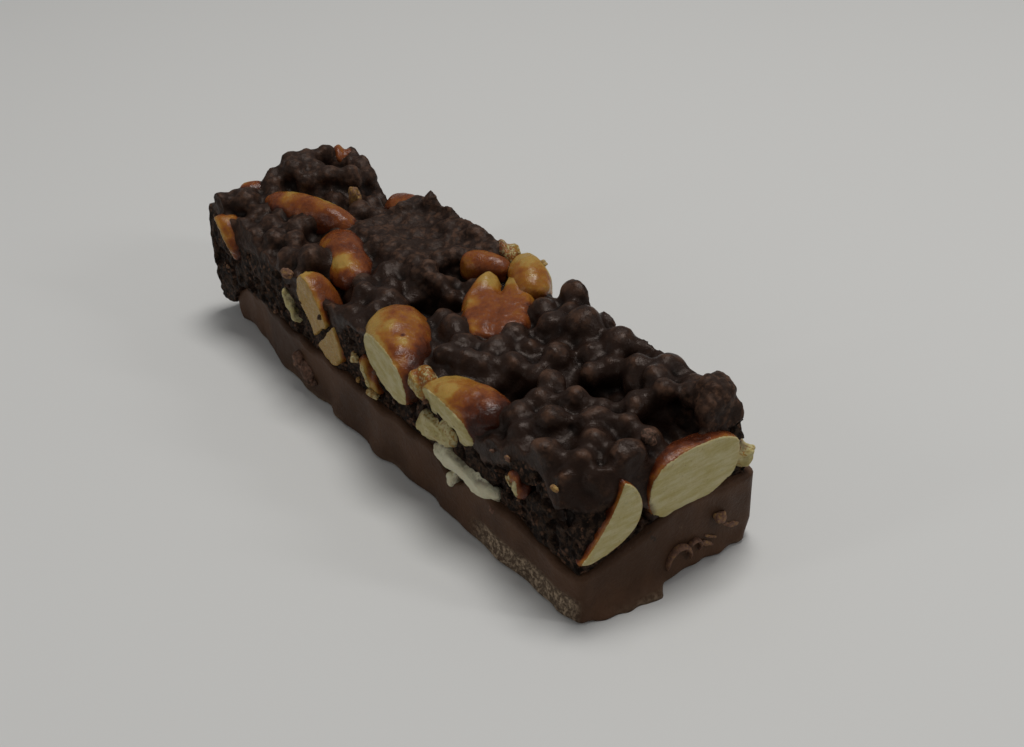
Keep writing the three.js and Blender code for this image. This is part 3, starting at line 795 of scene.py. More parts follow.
def slice_flat(points, inset):
    """Draws whatever stands past the bar's sides, its ends and the broken corner back onto them."""
    wave = 0.3 * grain(points, 6, 61) + 0.22 * grain(points, 2.6, 62)
    far_inset = inset + SIDE_WAVE * (1 + np.clip(wave / 0.4, -1, 1))
    x, y, z = points.T
    drape = far_drape(x, y)
    lift = np.clip((z - 5) / 16, 0, 1)
    bulge = drape * (DRAPE_OUT + DRAPE_BELLY * np.sin(math.pi * lift))
    inset = far_inset + 0.9 * smoothstep(z, 15.5, 20) * (0.6 + 0.4 * grain(points, 5, 68))
    x = np.clip(x, -(HALF_LENGTH - far_inset * (1 - 0.7 * drape)) - bulge, HALF_LENGTH - inset)
    y = np.clip(y, -(HALF_WIDTH - inset), HALF_WIDTH - inset)
    z = z - 0.35 * np.maximum(z - TALLEST, 0)
    points = np.stack([x, y, z], 1)
    way, reach = broken_plane()
    granular = broken_crumb(points)
    past = points @ way - reach - 0.3 + 0.5 * granular * (1 + grain(points, 1.6, 63))
    past = past + 0.6 * grain(points, 3, 65) + 0.7 * smoothstep(x, 44, 46.5) * smoothstep(z, 11, 14)
    past = 0.5 * (past + np.sqrt(past ** 2 + 0.3))
    return points - past[:, None] * way


def broken_crumb(points):
    """1 where the broken corner shows bare crumb, 0 under the film beside the nut above it."""
    return smoothstep(15.6 - points[:, 2] + 0.9 * grain(points, 2.2, 64), 0, 1)


def standing_out(piece, times):
    """How far each vertex stands out from its smoothed surroundings, in millimetres."""
    edges = np.empty(len(piece.data.edges) * 2, dtype=np.int32)
    piece.data.edges.foreach_get("vertices", edges)
    first, second = edges.reshape(-1, 2).T
    points = points_of(piece)
    smooth = points.copy()
    count = len(points)
    near = np.bincount(first, minlength=count) + np.bincount(second, minlength=count)
    for _ in range(times):
        total = np.stack([
            np.bincount(first, smooth[second, axis], count) + np.bincount(second, smooth[first, axis], count)
            for axis in range(3)], 1)
        smooth = 0.3 * smooth + 0.7 * total / np.maximum(near, 1)[:, None]
    return np.einsum("ij,ij->i", points - smooth, normals_of(piece))


def nearest(points, seeds):
    """Distance from each point to its nearest seed, and that seed's number."""
    tree = KDTree(len(seeds))
    for index, seed in enumerate(seeds):
        tree.insert(seed, index)
    tree.balance()
    found = [tree.find(point)[1:] for point in points]
    return np.array([row[1] for row in found]), np.array([row[0] for row in found])


def between_end_nuts(points):
    """1 on the near end between its two nuts, where chocolate film filled the cut."""
    x, y, z = points.T
    across = smoothstep(y, -9.4, -8.2) * (1 - smoothstep(y, -1.4, -0.2))
    return across * smoothstep(x, 40, 44) * smoothstep(z + 0.5 * grain(points, 2, 66), 9.6, 10.6)


def sliced_share(points, normals, inset):
    """1 on the sliced sides and ends of the crisped layer and its broken corner, 0 on its top."""
    x, y = np.abs(points[:, 0]), np.abs(points[:, 1])
    inset = inset + 2 * SIDE_WAVE + 0.9 * smoothstep(points[:, 2], 15.5, 20)
    side = smoothstep(y, HALF_WIDTH - inset - 0.5, HALF_WIDTH - inset - 0.1) * smoothstep(
        np.abs(normals[:, 1]), 0.3, 0.7)
    end = smoothstep(x, HALF_LENGTH - inset - 0.5, HALF_LENGTH - inset - 0.1) * smoothstep(
        np.abs(normals[:, 0]), 0.3, 0.7)
    end = end * (1 - 0.85 * between_end_nuts(points))
    way, reach = broken_plane()
    corner = smoothstep(points @ way - reach, -1.6, -1.0) * smoothstep(normals @ way, 0.3, 0.7)
    rim = points[:, 2] - mass_top(points[:, 0], points[:, 1]) + 2.2 + 2.2 * grain(points, 4, 67)
    sides = np.maximum(side, end) * (1 - 0.85 * smoothstep(rim, 0, 1.2))
    return np.maximum(sides, corner * broken_crumb(points))


def crust_share(points):
    """How crusty and dull the film is: on the crust, at the near corner and towards the far end."""
    x, y, _ = points.T
    corner = 1.35 * smoothstep(x, 39, 44) * smoothstep(y, 4, 8)
    far_end = 0.7 * smoothstep(-x, 12, 26)
    return np.maximum(np.maximum(on_crust(x, y), corner), far_end)


def pit_crumb(piece, random):
    """Roughens the sliced sides with pores of all sizes, and wrinkles the film on top."""
    points, normals = points_of(piece), normals_of(piece)
    sliced = sliced_share(points, normals, SLICE_INSET)
    seeds = random.uniform((-50, -14, 5), (50, 14, 26), (PORES, 3))
    rim = (np.abs(seeds[:, 1]) > 13.2) | (np.abs(seeds[:, 0]) > 48.2)
    seeds = seeds[rim]
    radii = 0.35 + 1.0 * random.uniform(0, 1, len(seeds)) ** 3
    on_side = np.flatnonzero(sliced > 0.05)
    away, index = nearest(points[on_side], seeds)
    dent = np.sqrt(np.maximum(radii[index] ** 2 - away ** 2, 0))
    inward = np.zeros(len(points))
    inward[on_side] = dent * sliced[on_side]
    for *pit, radius in SIDE_PITS:
        from_pit = np.linalg.norm(points - pit + 0.3 * grain(points, 1.2, 27)[:, None], axis=1)
        inward = inward + 1.6 * np.sqrt(np.maximum(radius ** 2 - from_pit ** 2, 0))
    rough = 0.34 * grain(points, 2.3, 21) + 0.26 * grain(points, 1.0, 22)
    film = 0.2 * grain(points, 2.1, 23) + 0.06 * grain(points, 0.8, 24)
    crusty = crust_share(points)
    film = film + crusty * (0.2 * grain(points, 1.1, 25) + 0.14 * grain(points, 0.6, 26))
    way, reach = broken_plane()
    film = film + 0.45 * smoothstep(points @ way - reach, -2, -1) * grain(points, 1.7, 28)
    move = sliced * (rough - 0.25) - inward + (1 - sliced) * film
    place_points(piece, points + normals * move[:, None])


def glaze_material(settings):
    material, tree, shader = new_material("coated_crisp_glaze")
    place = place_in_object(tree)
    sliced, tip = stored(tree, "sliced"), stored(tree, "tip")
    crusty = stored(tree, "crusty")
    patches = ramp(tree, noise(tree, place, 2.0, 5, 0.65), 0.42, 0.62)
    thin = combine(tree, "MULTIPLY", ramp(tree, tip, 0.08, 0.45), patches)
    thin = combine(tree, "MAXIMUM", thin, combine(tree, "MULTIPLY", crusty, ramp(
        tree, noise(tree, place, 1.1, 4, 0.65), 0.46, 0.66, 0, 0.75)))
    glaze = mix(tree, thin, settings.glaze_colour, settings.husk_colour)
    # Painted shade: where the surface sinks below its surroundings, in the creases and pits between crisps,
    # the glaze is darkened to a fifth of its colour
    crease = tuple(0.2 * c for c in settings.glaze_colour)
    glaze = mix(tree, ramp(tree, tip, -0.45, 0.0, 1, 0), glaze, crease)
    crumb_dark = tuple(0.12 * c for c in settings.crumb_colour)
    crumb_noise = noise(tree, place, 0.8, 5, 0.72)
    crumb = mix(tree, ramp(tree, crumb_noise, 0.46, 0.57), crumb_dark, settings.crumb_colour)
    grains = cells(tree, place, 0.7)
    flecks = combine(tree, "MULTIPLY", ramp(tree, noise(tree, place, 1.5, 4, 0.6), 0.5, 0.58), ramp(
        tree, grains, 0.3, 0.5, 0.9, 0))
    crumb = mix(tree, flecks, crumb, tuple(1.7 * c for c in settings.husk_colour))
    # Painted shade: the sliced crumb is darkened towards the same shade colour in its recesses
    crumb = mix(tree, ramp(tree, tip, -0.5, -0.1, 0.75, 0), crumb, crease)
    link(tree, mix(tree, sliced, glaze, crumb), shader, "Base Color")
    gloss = ramp(tree, noise(tree, place, 1.2, 4), 0.3, 0.7, 0.22, 0.4)
    gloss = combine(tree, "ADD", gloss, combine(tree, "MULTIPLY", crusty, 0.2))
    rough = mix(tree, sliced, gloss, (0.72, 0.72, 0.72))
    link(tree, rough, shader, "Roughness")
    shader.inputs["Specular IOR Level"].default_value = 0.16
    shader.inputs["Specular Tint"].default_value = (1, 0.84, 0.76, 1)
    wrinkles = bump(tree, noise(tree, place, 0.9, 5, 0.62, 1.2), 0.16, 0.6)
    pores = combine(tree, "MULTIPLY", noise(tree, place, 0.34, 4, 0.7), ramp(tree, sliced, 0, 1, 0.08, 1))
    link(tree, bump(tree, pores, 0.6, 0.9, wrinkles), shader, "Normal")
    return material


class BAR_OT_crisps(Operator):
    """Make the layer of coated crisped rice, with its pits, its film and its sliced sides"""
    bl_idname = "bar.crisps"
    bl_label = "Crisped layer"

    def execute(self, context):
        settings = context.scene.bar_crisps
        film = settings.film / MM
        seats, random = crisp_seats(settings)
        mass = unit_block("crisped_mass", 130, 38, 8)
        place_points(mass, shape_mass(points_of(mass) * MM, film))
        model = crisp_model()
        crisps = copy_crisps(model, seats, film, random)
        nuts = [nut_body(name, row, film - SEAT_IN_FILM) for name, row in PEANUTS.items()
                if row["kind"] != CHUNK and "span" not in row]
        select_only(mass, *crisps, *nuts)
        bpy.ops.object.join()
        bpy.data.objects.remove(model)
        remesh(mass, FIRST_VOXEL)
        soften(mass, 2)
        place_points(mass, points_of(mass) - normals_of(mass) * film)
        place_points(mass, slice_flat(points_of(mass), SLICE_INSET))
        remesh(mass, LAST_VOXEL)
        soften(mass, 2)
        pit_crumb(mass, random)
        thin_out(mass, MOST_TRIANGLES)
        drop_specks(mass)
        points, normals = points_of(mass), normals_of(mass)
        store(mass, "sliced", sliced_share(points, normals, SLICE_INSET + 0.25))
        store(mass, "crusty", crust_share(points))
        # How far each place stands out: it lightens the thin glaze on the crisps' tips, and it drives the
        # painted shade in the creases
        store(mass, "tip", standing_out(mass, 24))
        finish_piece(mass, glaze_material(settings), "coated_crisps", "crisped_layer")
        return {"FINISHED"}


# Peanuts

def nut_body(name, row, grow=0.0, segments=48):
    """One nut before it is sliced: a full body with a groove between its halves, or a rough lump."""
    bpy.ops.mesh.primitive_uv_sphere_add(segments=segments, ring_count=segments * 2 // 3, radius=1)
    nut = start_piece(name)
    pole_z = points_of(nut) * MM
    p = np.stack([pole_z[:, 2], pole_z[:, 1], -pole_z[:, 0]], 1)
    ring = np.sqrt(np.maximum(1e-12, 1 - p[:, 0] ** 2))
    fullness, taper = row.get("fullness", FULLNESS), row.get("taper", GERM_TAPER)
    around = np.arctan2(p[:, 1], p[:, 2])
    if row["kind"] == CHUNK:
        outline = nut_outline(p[:, 0], fullness, 0)
        across = outline * (1 + CHUNK_ROUGHNESS * np.sin(p[:, 0] * 5 + around * 3 + row["at"][0]))
    else:
        cleft = row.get("cleft", GERM_DEPTH)
        outline = nut_outline(p[:, 0], fullness, taper)
        from_seam = np.minimum(np.abs(around), np.abs(np.arctan2(p[:, 1], -p[:, 2])))
        depth = SEAM_DEPTH + cleft * smoothstep(p[:, 0], 0.35, 1)
        groove = depth * np.exp(-((from_seam / SEAM_HALF_ANGLE) ** 2)) if row["kind"] == WHOLE else 0
        across = outline * (1 - groove)
        if row["kind"] == WHOLE:
            dent = GERM_DIMPLE * cleft * np.exp(-((ring / 0.45) ** 2)) * (p[:, 0] > 0)
            p[:, 0] = p[:, 0] - dent
    across = np.where(ring > 1e-5, across / ring, 0)
    radii = np.array(row["size"]) / 2 + grow
    local = np.stack([p[:, 0] * radii[0], p[:, 1] * across * radii[1], p[:, 2] * across * radii[2]], 1)
    if row["kind"] == HALF:
        middle = np.maximum(0, 1 - (local[:, 0] / radii[0]) ** 2 - (local[:, 1] / radii[1]) ** 2)
        floor = HALF_FLOOR * row["size"][2] - grow + row.get("hollow", 0) * middle
        local[:, 2] = np.maximum(local[:, 2], floor)
    if "notch" in row:
        local = part_prongs(local, radii, row["notch"])
    place_points(nut, local @ np.array(turn_of(row)).T + row["at"])
    return nut


def part_prongs(local, radii, notch):
    """Flattens a nut's top and parts its tip into two prongs with a narrow notch between them."""
    x, y, z = local.T
    to_tip = smoothstep(x, 0.1 * radii[0], 0.85 * radii[0])
    crease = np.exp(-((y / 0.65) ** 2))
    flat = 0.62 * radii[2]
    z = np.where(z > flat, flat + 0.22 * (z - flat), z)
    z = z - np.sign(z) * crease * (0.35 + 1.1 * to_tip) + 0.9 * to_tip * smoothstep(np.abs(y), 1, 2.6)
    x = x - notch * crease * to_tip - 0.9 * to_tip
    y = y * (1 - 0.16 * to_tip)
    return np.stack([x, y, z], 1)


# How each nut looks: tone from 0 for straw to 1 for dark red-brown, the way in which it darkens and
# by how much, how mottled it is, and how much of it is bare flesh. A slice replaces the bar's own
# sides with a plane: its direction, its distance from the nut's middle and its roughness. Spots are
# places in shares of the nut's half sizes, with their reach in mm and what they add to the tone.
# Bared is how much of a cut shows flesh, smooth scales the roughness of cuts and flesh, and white
# is how far the flesh is bleached.
NUT_LOOKS = {
    "peanut_end_oval": dict(tone=0.5, way=(0, -0.4, 1), change=0.5, slice=((0.995, -0.02, -0.09), 0.5, 0.04),
                            spots=((-0.52, 0.93, -0.3, 2.2, -0.12), (0.22, 0.94, -0.2, 4, 0.2))),
    "peanut_end_wedge": dict(tone=0.68, way=(0, 1, 0), change=0.2),
    "peanut_split": dict(tone=0.52, way=(0.74, -0.67, -0.2), change=0.3, mottle=0.5, spots=(
        (0.58, 0.31, 0.82, 3, -0.45), (0.66, -0.44, 0.72, 3.4, -0.5), (0.2, -0.75, 0.5, 3, -0.2),
        (-0.04, 0.75, 0.6, 2.2, -0.34), (-0.69, 0.6, 0.7, 2.2, -0.34), (-0.92, 0.39, 0.6, 2, -0.3),
        (0.33, -0.1, 1, 2, 0.25))),
    "peanut_side_large": dict(tone=0.5, way=(1, 0.5, -0.6), change=0.65, mottle=1.3,
                              slice=((-0.12, -0.981, -0.12), 3.15, 0.05), spots=(
        (-0.25, 0.8, 0.57, 2.2, -0.4), (0.33, 0.92, -0.16, 2.8, -0.34), (0.7, 0.7, 0, 1.5, -0.25),
        (0.22, 0.95, -0.1, 0.5, 0.8), (0.55, 0.55, -0.6, 3, 0.16), (0.2, 0.6, 0.75, 1.6, -0.3))),
    "peanut_side_near": dict(tone=0.54, way=(1, -0.2, -0.7), change=0.9, mottle=1.2,
                             slice=((-0.06, -0.96, -0.28), 2.7, 0.2), spots=(
        (-0.2, 0.9, 0.4, 2.2, -0.4), (-0.5, 0.8, 0.1, 2.4, -0.2), (0.9, -0.1, 0.5, 5.5, 0.42))),
    "peanut_ridge": dict(tone=0.56, way=(0.3, -1, -0.6), change=0.4, mottle=0.8, spots=(
        (-0.18, 0.03, 1, 2.6, -0.25), (-0.3, 0.7, 0.7, 3, -0.5), (0.35, 0.75, 0.5, 3.2, -0.45))),
    "peanut_bend": dict(tone=0.64, way=(0.7, 0.6, 0), change=0.2, mottle=0.8, spots=(
        (0.46, -0.56, 0.68, 3.2, -0.6), (0.7, -0.1, 0.67, 2.2, -0.3), (-0.3, -0.8, 0.55, 2, -0.2))),
    "peanut_side_upper": dict(tone=0.47, way=(1, 0.5, 0), change=0.3, mottle=0.8, bared=0.1, spots=(
        (-0.7, 0.2, 0.7, 3.4, -0.2),)),
    "peanut_side_lower": dict(tone=0.34, flesh=0.24, mottle=1.0, smooth=0.35, bared=0.3),
    "peanut_back_edge": dict(tone=0.25, way=(1, -1, -1), change=0.5, mottle=1.1),
    "peanut_back_left": dict(tone=0.4, way=(-1, 0, 0), change=0.7),
    "peanut_behind": dict(tone=0.48, way=(1, 0, 0), change=0.3, mottle=1.2),
    "peanut_far_edge": dict(tone=0.5),
    "peanut_far_side": dict(tone=0.42, mottle=1.2, smear=0.9, slice=((-0.3, -0.9, -0.32), 1.5, 0.1),
                            bared=0.4, spots=((0.5, -0.6, 0, 5, 0.6), (-0.7, -0.3, 0.6, 2, -0.3))),
    "peanut_far_top": dict(tone=0.36, flesh=0.1, smooth=0.5),
    "peanut_fleck": dict(tone=0.3, flesh=0.45),
    "peanut_side_sliver": dict(tone=0.3, flesh=1),
    "peanut_side_crumb": dict(tone=0.3, flesh=0.24, smooth=0.4, bared=0.6),
    "peanut_between": dict(tone=0.36, flesh=0.4, smooth=0.45, bared=0.5),
    "peanut_under": dict(tone=0.2, flesh=0.6, smooth=0.7, bared=0.7),
    "peanut_cut_sliver": dict(tone=0.3, flesh=1, smooth=0.35, white=1),
    "peanut_cut_fork": dict(tone=0.3, flesh=1, white=1),
    "peanut_side_chip": dict(tone=0.55, flesh=0.1),
    "peanut_corner_chip": dict(tone=0.25, flesh=0.6),
    "peanut_back_near": dict(tone=0.7, mottle=1.2),
    "peanut_back_middle": dict(tone=0.5),
    "peanut_back_far": dict(tone=0.6),
    "peanut_far_cut": dict(tone=0.5),
}


def cut_by_plane(piece, point, direction):
    """Slices a piece flat, drops what lies past the plane and closes the cut."""
    select_only(piece)
    bpy.ops.object.mode_set(mode="EDIT")
    bpy.ops.mesh.select_all(action="SELECT")
    bpy.ops.mesh.bisect(plane_co=[c * MM for c in point], plane_no=direction, use_fill=True,
                        clear_outer=True, threshold=1e-7)
    bpy.ops.object.mode_set(mode="OBJECT")


def nut_cuts(row, look, inset):
    """Every plane that slices a nut: the bar's sides and ends, or its own, and its span."""
    roughness = 0.0
    if row["kind"] == CHUNK:
        inset, roughness = inset - 0.5, 0.4
    cuts = [
        ((HALF_LENGTH - inset, 0, 0), (1, 0, 0), roughness),
        ((inset - HALF_LENGTH, 0, 0), (-1, 0, 0), roughness),
        ((0, HALF_WIDTH - inset, 0), (0, 1, 0), roughness),
        ((0, inset - HALF_WIDTH, 0), (0, -1, 0), roughness),
    ]
    if "slice" in look:
        direction, reach, roughness = look["slice"]
        way = Vector(direction).normalized()
        cuts = [(tuple(Vector(row["at"]) + way * reach), tuple(way), roughness)]
    if "span" in row:
        along = turn_of(row) @ Vector((1, 0, 0))
        for reach, sign in zip(row["span"], (-1, 1)):
            cuts.append((tuple(Vector(row["at"]) + along * reach), tuple(along * sign), 0.25))
    return cuts


def dress_nut(name, row, index, bare_crisps, film_reach):
    """Slices a nut, gives it its relief and stores how much flesh, tone and film each place has."""
    look = NUT_LOOKS[name]
    nut = nut_body(name + "_nut", row, segments=72)
    cuts = nut_cuts(row, look, PEANUT_INSET + 0.004 * index)
    low, high = points_of(nut).min(0), points_of(nut).max(0)
    corners = np.array(list(itertools.product(*zip(low, high))))
    cuts = [cut for cut in cuts if ((corners - cut[0]) @ cut[1]).max() > 0]
    for point, direction, _ in cuts:
        cut_by_plane(nut, point, direction)
    remesh(nut, 0.22 if max(row["size"]) > 7 else 0.16)
    soften(nut, 1)
    points, normals = points_of(nut), normals_of(nut)
    flesh = np.full(len(points), float(look.get("flesh", 0)))
    rough, bared = flesh.copy(), look.get("bared", 1)
    cut_share = np.zeros(len(points))
    for point, direction, roughness in cuts:
        facing = smoothstep(normals @ direction, 0.35, 0.8)
        at_cut = facing * smoothstep((points - point) @ direction, -0.5, -0.12)
        cut_share = np.maximum(cut_share, at_cut)
        rough = np.maximum(rough, at_cut * (0.12 + 2.4 * roughness))
    flesh = np.maximum(flesh, cut_share * bared)
    seed = 40 + index
    skin = 0.18 * grain(points, 2.3, seed) + 0.09 * grain(points, 1.0, seed + 30)
    broken = 0.34 * grain(points, 1.3, seed) + 0.2 * grain(points, 0.6, seed + 30)
    rough = rough * look.get("smooth", 1)
    place_points(nut, points + normals * ((1 - np.minimum(flesh, 1)) * skin + rough * broken)[:, None])
    points = points_of(nut)
    way = np.array(look.get("way", (0, 0, -1)), float)
    middle = points.mean(0)
    reach = (points - middle) @ way / np.linalg.norm(way)
    share = reach / max(np.abs(reach).max(), 1e-6)
    away, _ = nearest(points, bare_crisps)
    film = 1 - smoothstep(away, 0.25, film_reach)
    mottle = 0.18 * grain(points, 2.4, seed + 60) + 0.11 * grain(points, 1.1, seed + 90)
    tone = look["tone"] + look.get("change", 0) * share * 0.6 + look.get("mottle", 0.7) * mottle
    wobble = 0.35 * np.stack([grain(points, 1.4, seed + 120 + axis) for axis in range(3)], 1)
    for *spot, spot_reach, amount in look.get("spots", ()):
        local = Vector(share * size / 2 for share, size in zip(spot, row["size"]))
        spot_at = turn_of(row) @ local + Vector(row["at"])
        from_spot = np.linalg.norm(points + wobble * min(1, spot_reach / 2) - spot_at, axis=1)
        tone = tone + amount * (1 - smoothstep(from_spot, 0.25 * spot_reach, spot_reach))
    for point, direction, _ in cuts:
        from_cut = np.abs((points - point) @ direction) + 0.3 * grain(points, 1.8, seed + 7)
        tone = tone - 0.34 * (1 - smoothstep(from_cut, 0.3, 0.95))
    tone = tone + 0.28 * film - 0.25 * (1 - bared) * cut_share
    store(nut, "flesh", flesh)
    store(nut, "white", np.full(len(points), look.get("white", 0)))
    store(nut, "tone", np.clip(tone, 0, 1))
    store(nut, "film", np.maximum(film, look.get("smear", 0)))
    return nut


def nut_material(settings):
    material, tree, shader = new_material("glazed_peanut")
    place = place_in_object(tree)
    tone, film = stored(tree, "tone"), stored(tree, "film")
    fine = noise(tree, place, 0.7, 4, 0.6)
    tone = combine(tree, "ADD", tone, ramp(tree, fine, 0.25, 0.75, -0.1, 0.1))
    skin = add_node(tree, "ShaderNodeValToRGB", {"Fac": tone})
    stops = skin.color_ramp.elements
    stops[0].position, stops[0].color = 0.02, (*settings.straw, 1)
    stops[1].position, stops[1].color = 0.98, (*(0.45 * c for c in settings.red_brown), 1)
    for position, colour in ((0.24, settings.gold), (0.52, settings.orange), (0.78, settings.red_brown)):
        stop = stops.new(position)
        stop.color = (*colour, 1)
    edge = noise(tree, place, 0.45, 4, 0.6)
    flesh = combine(tree, "ADD", stored(tree, "flesh"), ramp(tree, edge, 0.3, 0.7, -0.22, 0.22))
    flesh = ramp(tree, flesh, 0.38, 0.62)
    scratch_place = place_in_object(tree, (1, 0.5, 2.4))
    veins = ramp(tree, noise(tree, scratch_place, 2.6, 7, 0.72), 0.36, 0.66)
    pale = tuple(c * k for c, k in zip(settings.flesh, (0.78, 0.72, 0.48)))
    cream = mix(tree, veins, settings.flesh, pale)
    scratches = ramp(tree, noise(tree, scratch_place, 0.9, 5, 0.7), 0.6, 0.7, 0, 0.55)
    cream = mix(tree, scratches, cream, tuple(0.62 * c for c in settings.flesh))
    cream = mix(tree, combine(tree, "MULTIPLY", stored(tree, "white"), 0.6), cream, settings.bleached)
    smears = combine(tree, "MULTIPLY", film, ramp(tree, noise(tree, place, 1.8, 4, 0.6), 0.42, 0.6, 0, 0.75))
    cream = mix(tree, smears, cream, (0.09, 0.05, 0.034))
    specks = ramp(tree, cells(tree, place, 1.1), 0.03, 0.12, 0.7, 0)
    cream = mix(tree, specks, cream, (0.24, 0.16, 0.07))
    link(tree, mix(tree, flesh, skin.outputs[0], cream), shader, "Base Color")
    gloss = ramp(tree, fine, 0.3, 0.7, 0.18, 0.36)
    rough = combine(tree, "ADD", gloss, combine(tree, "MULTIPLY", flesh, 0.36))
    link(tree, rough, shader, "Roughness")
    shader.inputs["Specular IOR Level"].default_value = 0.24
    shader.inputs["Subsurface Weight"].default_value = 0.12
    shader.inputs["Subsurface Radius"].default_value = (1.0, 0.5, 0.25)
    shader.inputs["Subsurface Scale"].default_value = 0.8 * MM
    soft = bump(tree, noise(tree, place, 1.1, 4, 0.6, 0.8), 0.26, 0.55)
    pits = combine(tree, "MULTIPLY", noise(tree, place, 0.3, 4, 0.7), ramp(tree, flesh, 0, 1, 0.12, 1))
    link(tree, bump(tree, pits, 0.3, 0.7, soft), shader, "Normal")
    return material


class BAR_OT_peanuts(Operator):
    """Make the peanuts, each sliced with the bar and dressed in its own glaze"""
    bl_idname = "bar.peanuts"
    bl_label = "Peanuts"

    def execute(self, context):
        settings = context.scene.bar_peanuts
        layer = bpy.data.objects.get("crisped_mass")
        if layer is None:
            raise RuntimeError("make the crisped layer first, because its film darkens the nuts")
        around = points_of(layer)[::3]
        around = around[depth_in_nuts(around) > 1.08]
        material = nut_material(settings)
        for index, (name, row) in enumerate(PEANUTS.items()):
            nut = dress_nut(name, row, index, around, settings.film_reach / MM)
            finish_piece(nut, material, "peanut", name)
        return {"FINISHED"}


# Loose flakes, crumbs and chips

# Kind, middle, size along its length, width and height, turn in degrees about X, Y and Z, tone from
# 0 for pale nut to 1 for dark chocolate
CRUMB, CURL = "crumb", "curl"
FLAKES = (
    (CRUMB, (-18.7, -14.2, 3.8), (5.4, 2.4, 3.0), (0, 16, 0), 0.76),
    (CRUMB, (-20.2, -14.3, 4.8), (2.8, 2.0, 2.2), (0, 30, 10), 0.7),
    (CRUMB, (-16.9, -14.3, 2.8), (2.4, 1.8, 1.8), (10, 0, 0), 0.8),
    (CURL, (49.5, 1.8, 2.5), (4.6, 5.0, 1.1), (90, 0, 90), 0.64),
    (CURL, (49.6, 4.2, 3.2), (3.0, 3.0, 0.9), (90, 20, 90), 0.68),
    (CRUMB, (49.45, 6.6, 2.9), (0.5, 2.6, 0.6), (-38, 0, 0), 0.6),
    (CRUMB, (49.45, 7.2, 3.6), (0.5, 1.9, 0.5), (-30, 0, 0), 0.56),
    (CRUMB, (49.4, 8.5, 6.4), (1.2, 2.1, 1.7), (-30, 0, 12), 0.58),
    (CRUMB, (49.0, 10.8, 3.8), (0.5, 2.6, 0.8), (-20, 0, 0), 0.62),
    (CRUMB, (48.9, -2.6, 8.5), (0.6, 0.9, 2.0), (24, 0, 0), 1.0),
    (CRUMB, (46.2, -1.2, 21.2), (1.9, 1.8, 1.8), (0, 0, 0), 0.84),
    (CRUMB, (43.6, -14, 17.9), (1.3, 0.7, 0.7), (0, 30, 20), 0.4),
    (CRUMB, (34.9, -14.2, 13.8), (0.4, 0.5, 1.6), (0, -34, 0), 0.16),
    (CRUMB, (-22.2, -13.6, 18.8), (2.4, 1.4, 1.7), (0, 10, 20), 0.6),
    (CRUMB, (1.9, -13.9, 9.7), (2.2, 1.4, 0.9), (0, 10, 0), 0.22),
    (CRUMB, (-2.9, -13.9, 13.2), (1.5, 1.2, 1.5), (0, 30, 0), 0.2),
    (CRUMB, (-35.5, 6.0, 20.4), (2.0, 1.8, 3.8), (0, 0, 30), 0.48),
    (CRUMB, (10.6, -12.6, 14.6), (1.6, 1.4, 1.4), (0, 0, 0), 0.3),
    (CRUMB, (31.4, -14.2, 7.3), (1.1, 0.6, 0.8), (0, 20, 0), 0.66),
    (CRUMB, (47.9, 13.9, 12.2), (1.4, 1.0, 1.6), (0, 0, 0), 0.4),
    (CRUMB, (5.2, 14.0, 22.6), (1.3, 1.0, 1.0), (0, 0, 0), 0.25),
    (CRUMB, (-10.4, 13.9, 21.6), (1.6, 1.1, 0.8), (0, 20, 0), 0.3),
)
SCATTERED_CRUMBS = 26
# How deep a flake is stuck in what carries it
FLAKE_HOLD = 0.2


def flake_body(kind, at, size, turn, index):
    """One crumb or curled shaving, lumpy all over, placed in the bar's frame."""
    bpy.ops.mesh.primitive_ico_sphere_add(subdivisions=4, radius=1)
    flake = start_piece(f"flake_{index}")
    points = points_of(flake) * MM
    if kind == CURL:
        angle = 0.5 * math.pi + 1.9 * points[:, 0]
        reach = 0.84 + 0.16 * points[:, 1] * (1 - 0.4 * points[:, 0] ** 2)
        points = np.stack([reach * np.cos(angle), reach * np.sin(angle), points[:, 2]], 1)
    else:
        lumps = 1 + 0.3 * grain(points, 0.8, index) + 0.16 * grain(points, 0.4, index + 50)
        points = points * lumps[:, None]
    frame_turn = np.array(Euler([math.radians(angle) for angle in turn]).to_matrix())
    placed = points * (np.array(size) / 2) @ frame_turn.T + at
    placed = placed + 0.09 * np.stack([grain(placed, 0.7, index + axis) for axis in range(3)], 1)
    place_points(flake, placed)
    return flake


def press_on(flake, carriers):
    """Moves a flake that stands clear of the bar until it is stuck to it."""
    points = points_of(flake)
    centre = points.mean(0)
    at, outward, _, distance = min((carrier.find_nearest(Vector(centre * MM)) for carrier in carriers),
                                   key=lambda found: found[3])
    way = np.array(at) / MM - centre
    if np.dot(way, outward) > 0:
        return
    way = way / np.linalg.norm(way)
    gap = distance / MM - np.max((points - centre) @ way)
    place_points(flake, points + way * max(gap + FLAKE_HOLD, 0))


def flake_material(settings):
    material, tree, shader = new_material("broken_flake")
    place = place_in_object(tree)
    fine = noise(tree, place, 0.5, 4, 0.65)
    tone = combine(tree, "ADD", stored(tree, "tone"), ramp(tree, fine, 0.25, 0.75, -0.2, 0.2))
    colours = add_node(tree, "ShaderNodeValToRGB", {"Fac": tone})
    stops = colours.color_ramp.elements
    stops[0].position, stops[0].color = 0.05, (*settings.pale_crumb, 1)
    stops[1].position, stops[1].color = 0.95, (*settings.dark_crumb, 1)
    for position, colour in ((0.34, settings.golden_crumb), (0.62, settings.tan_crumb)):
        stop = stops.new(position)
        stop.color = (*colour, 1)
    link(tree, colours.outputs[0], shader, "Base Color")
    shader.inputs["Roughness"].default_value = 0.66
    shader.inputs["Specular IOR Level"].default_value = 0.2
    link(tree, bump(tree, fine, 0.3, 0.8), shader, "Normal")
    return material


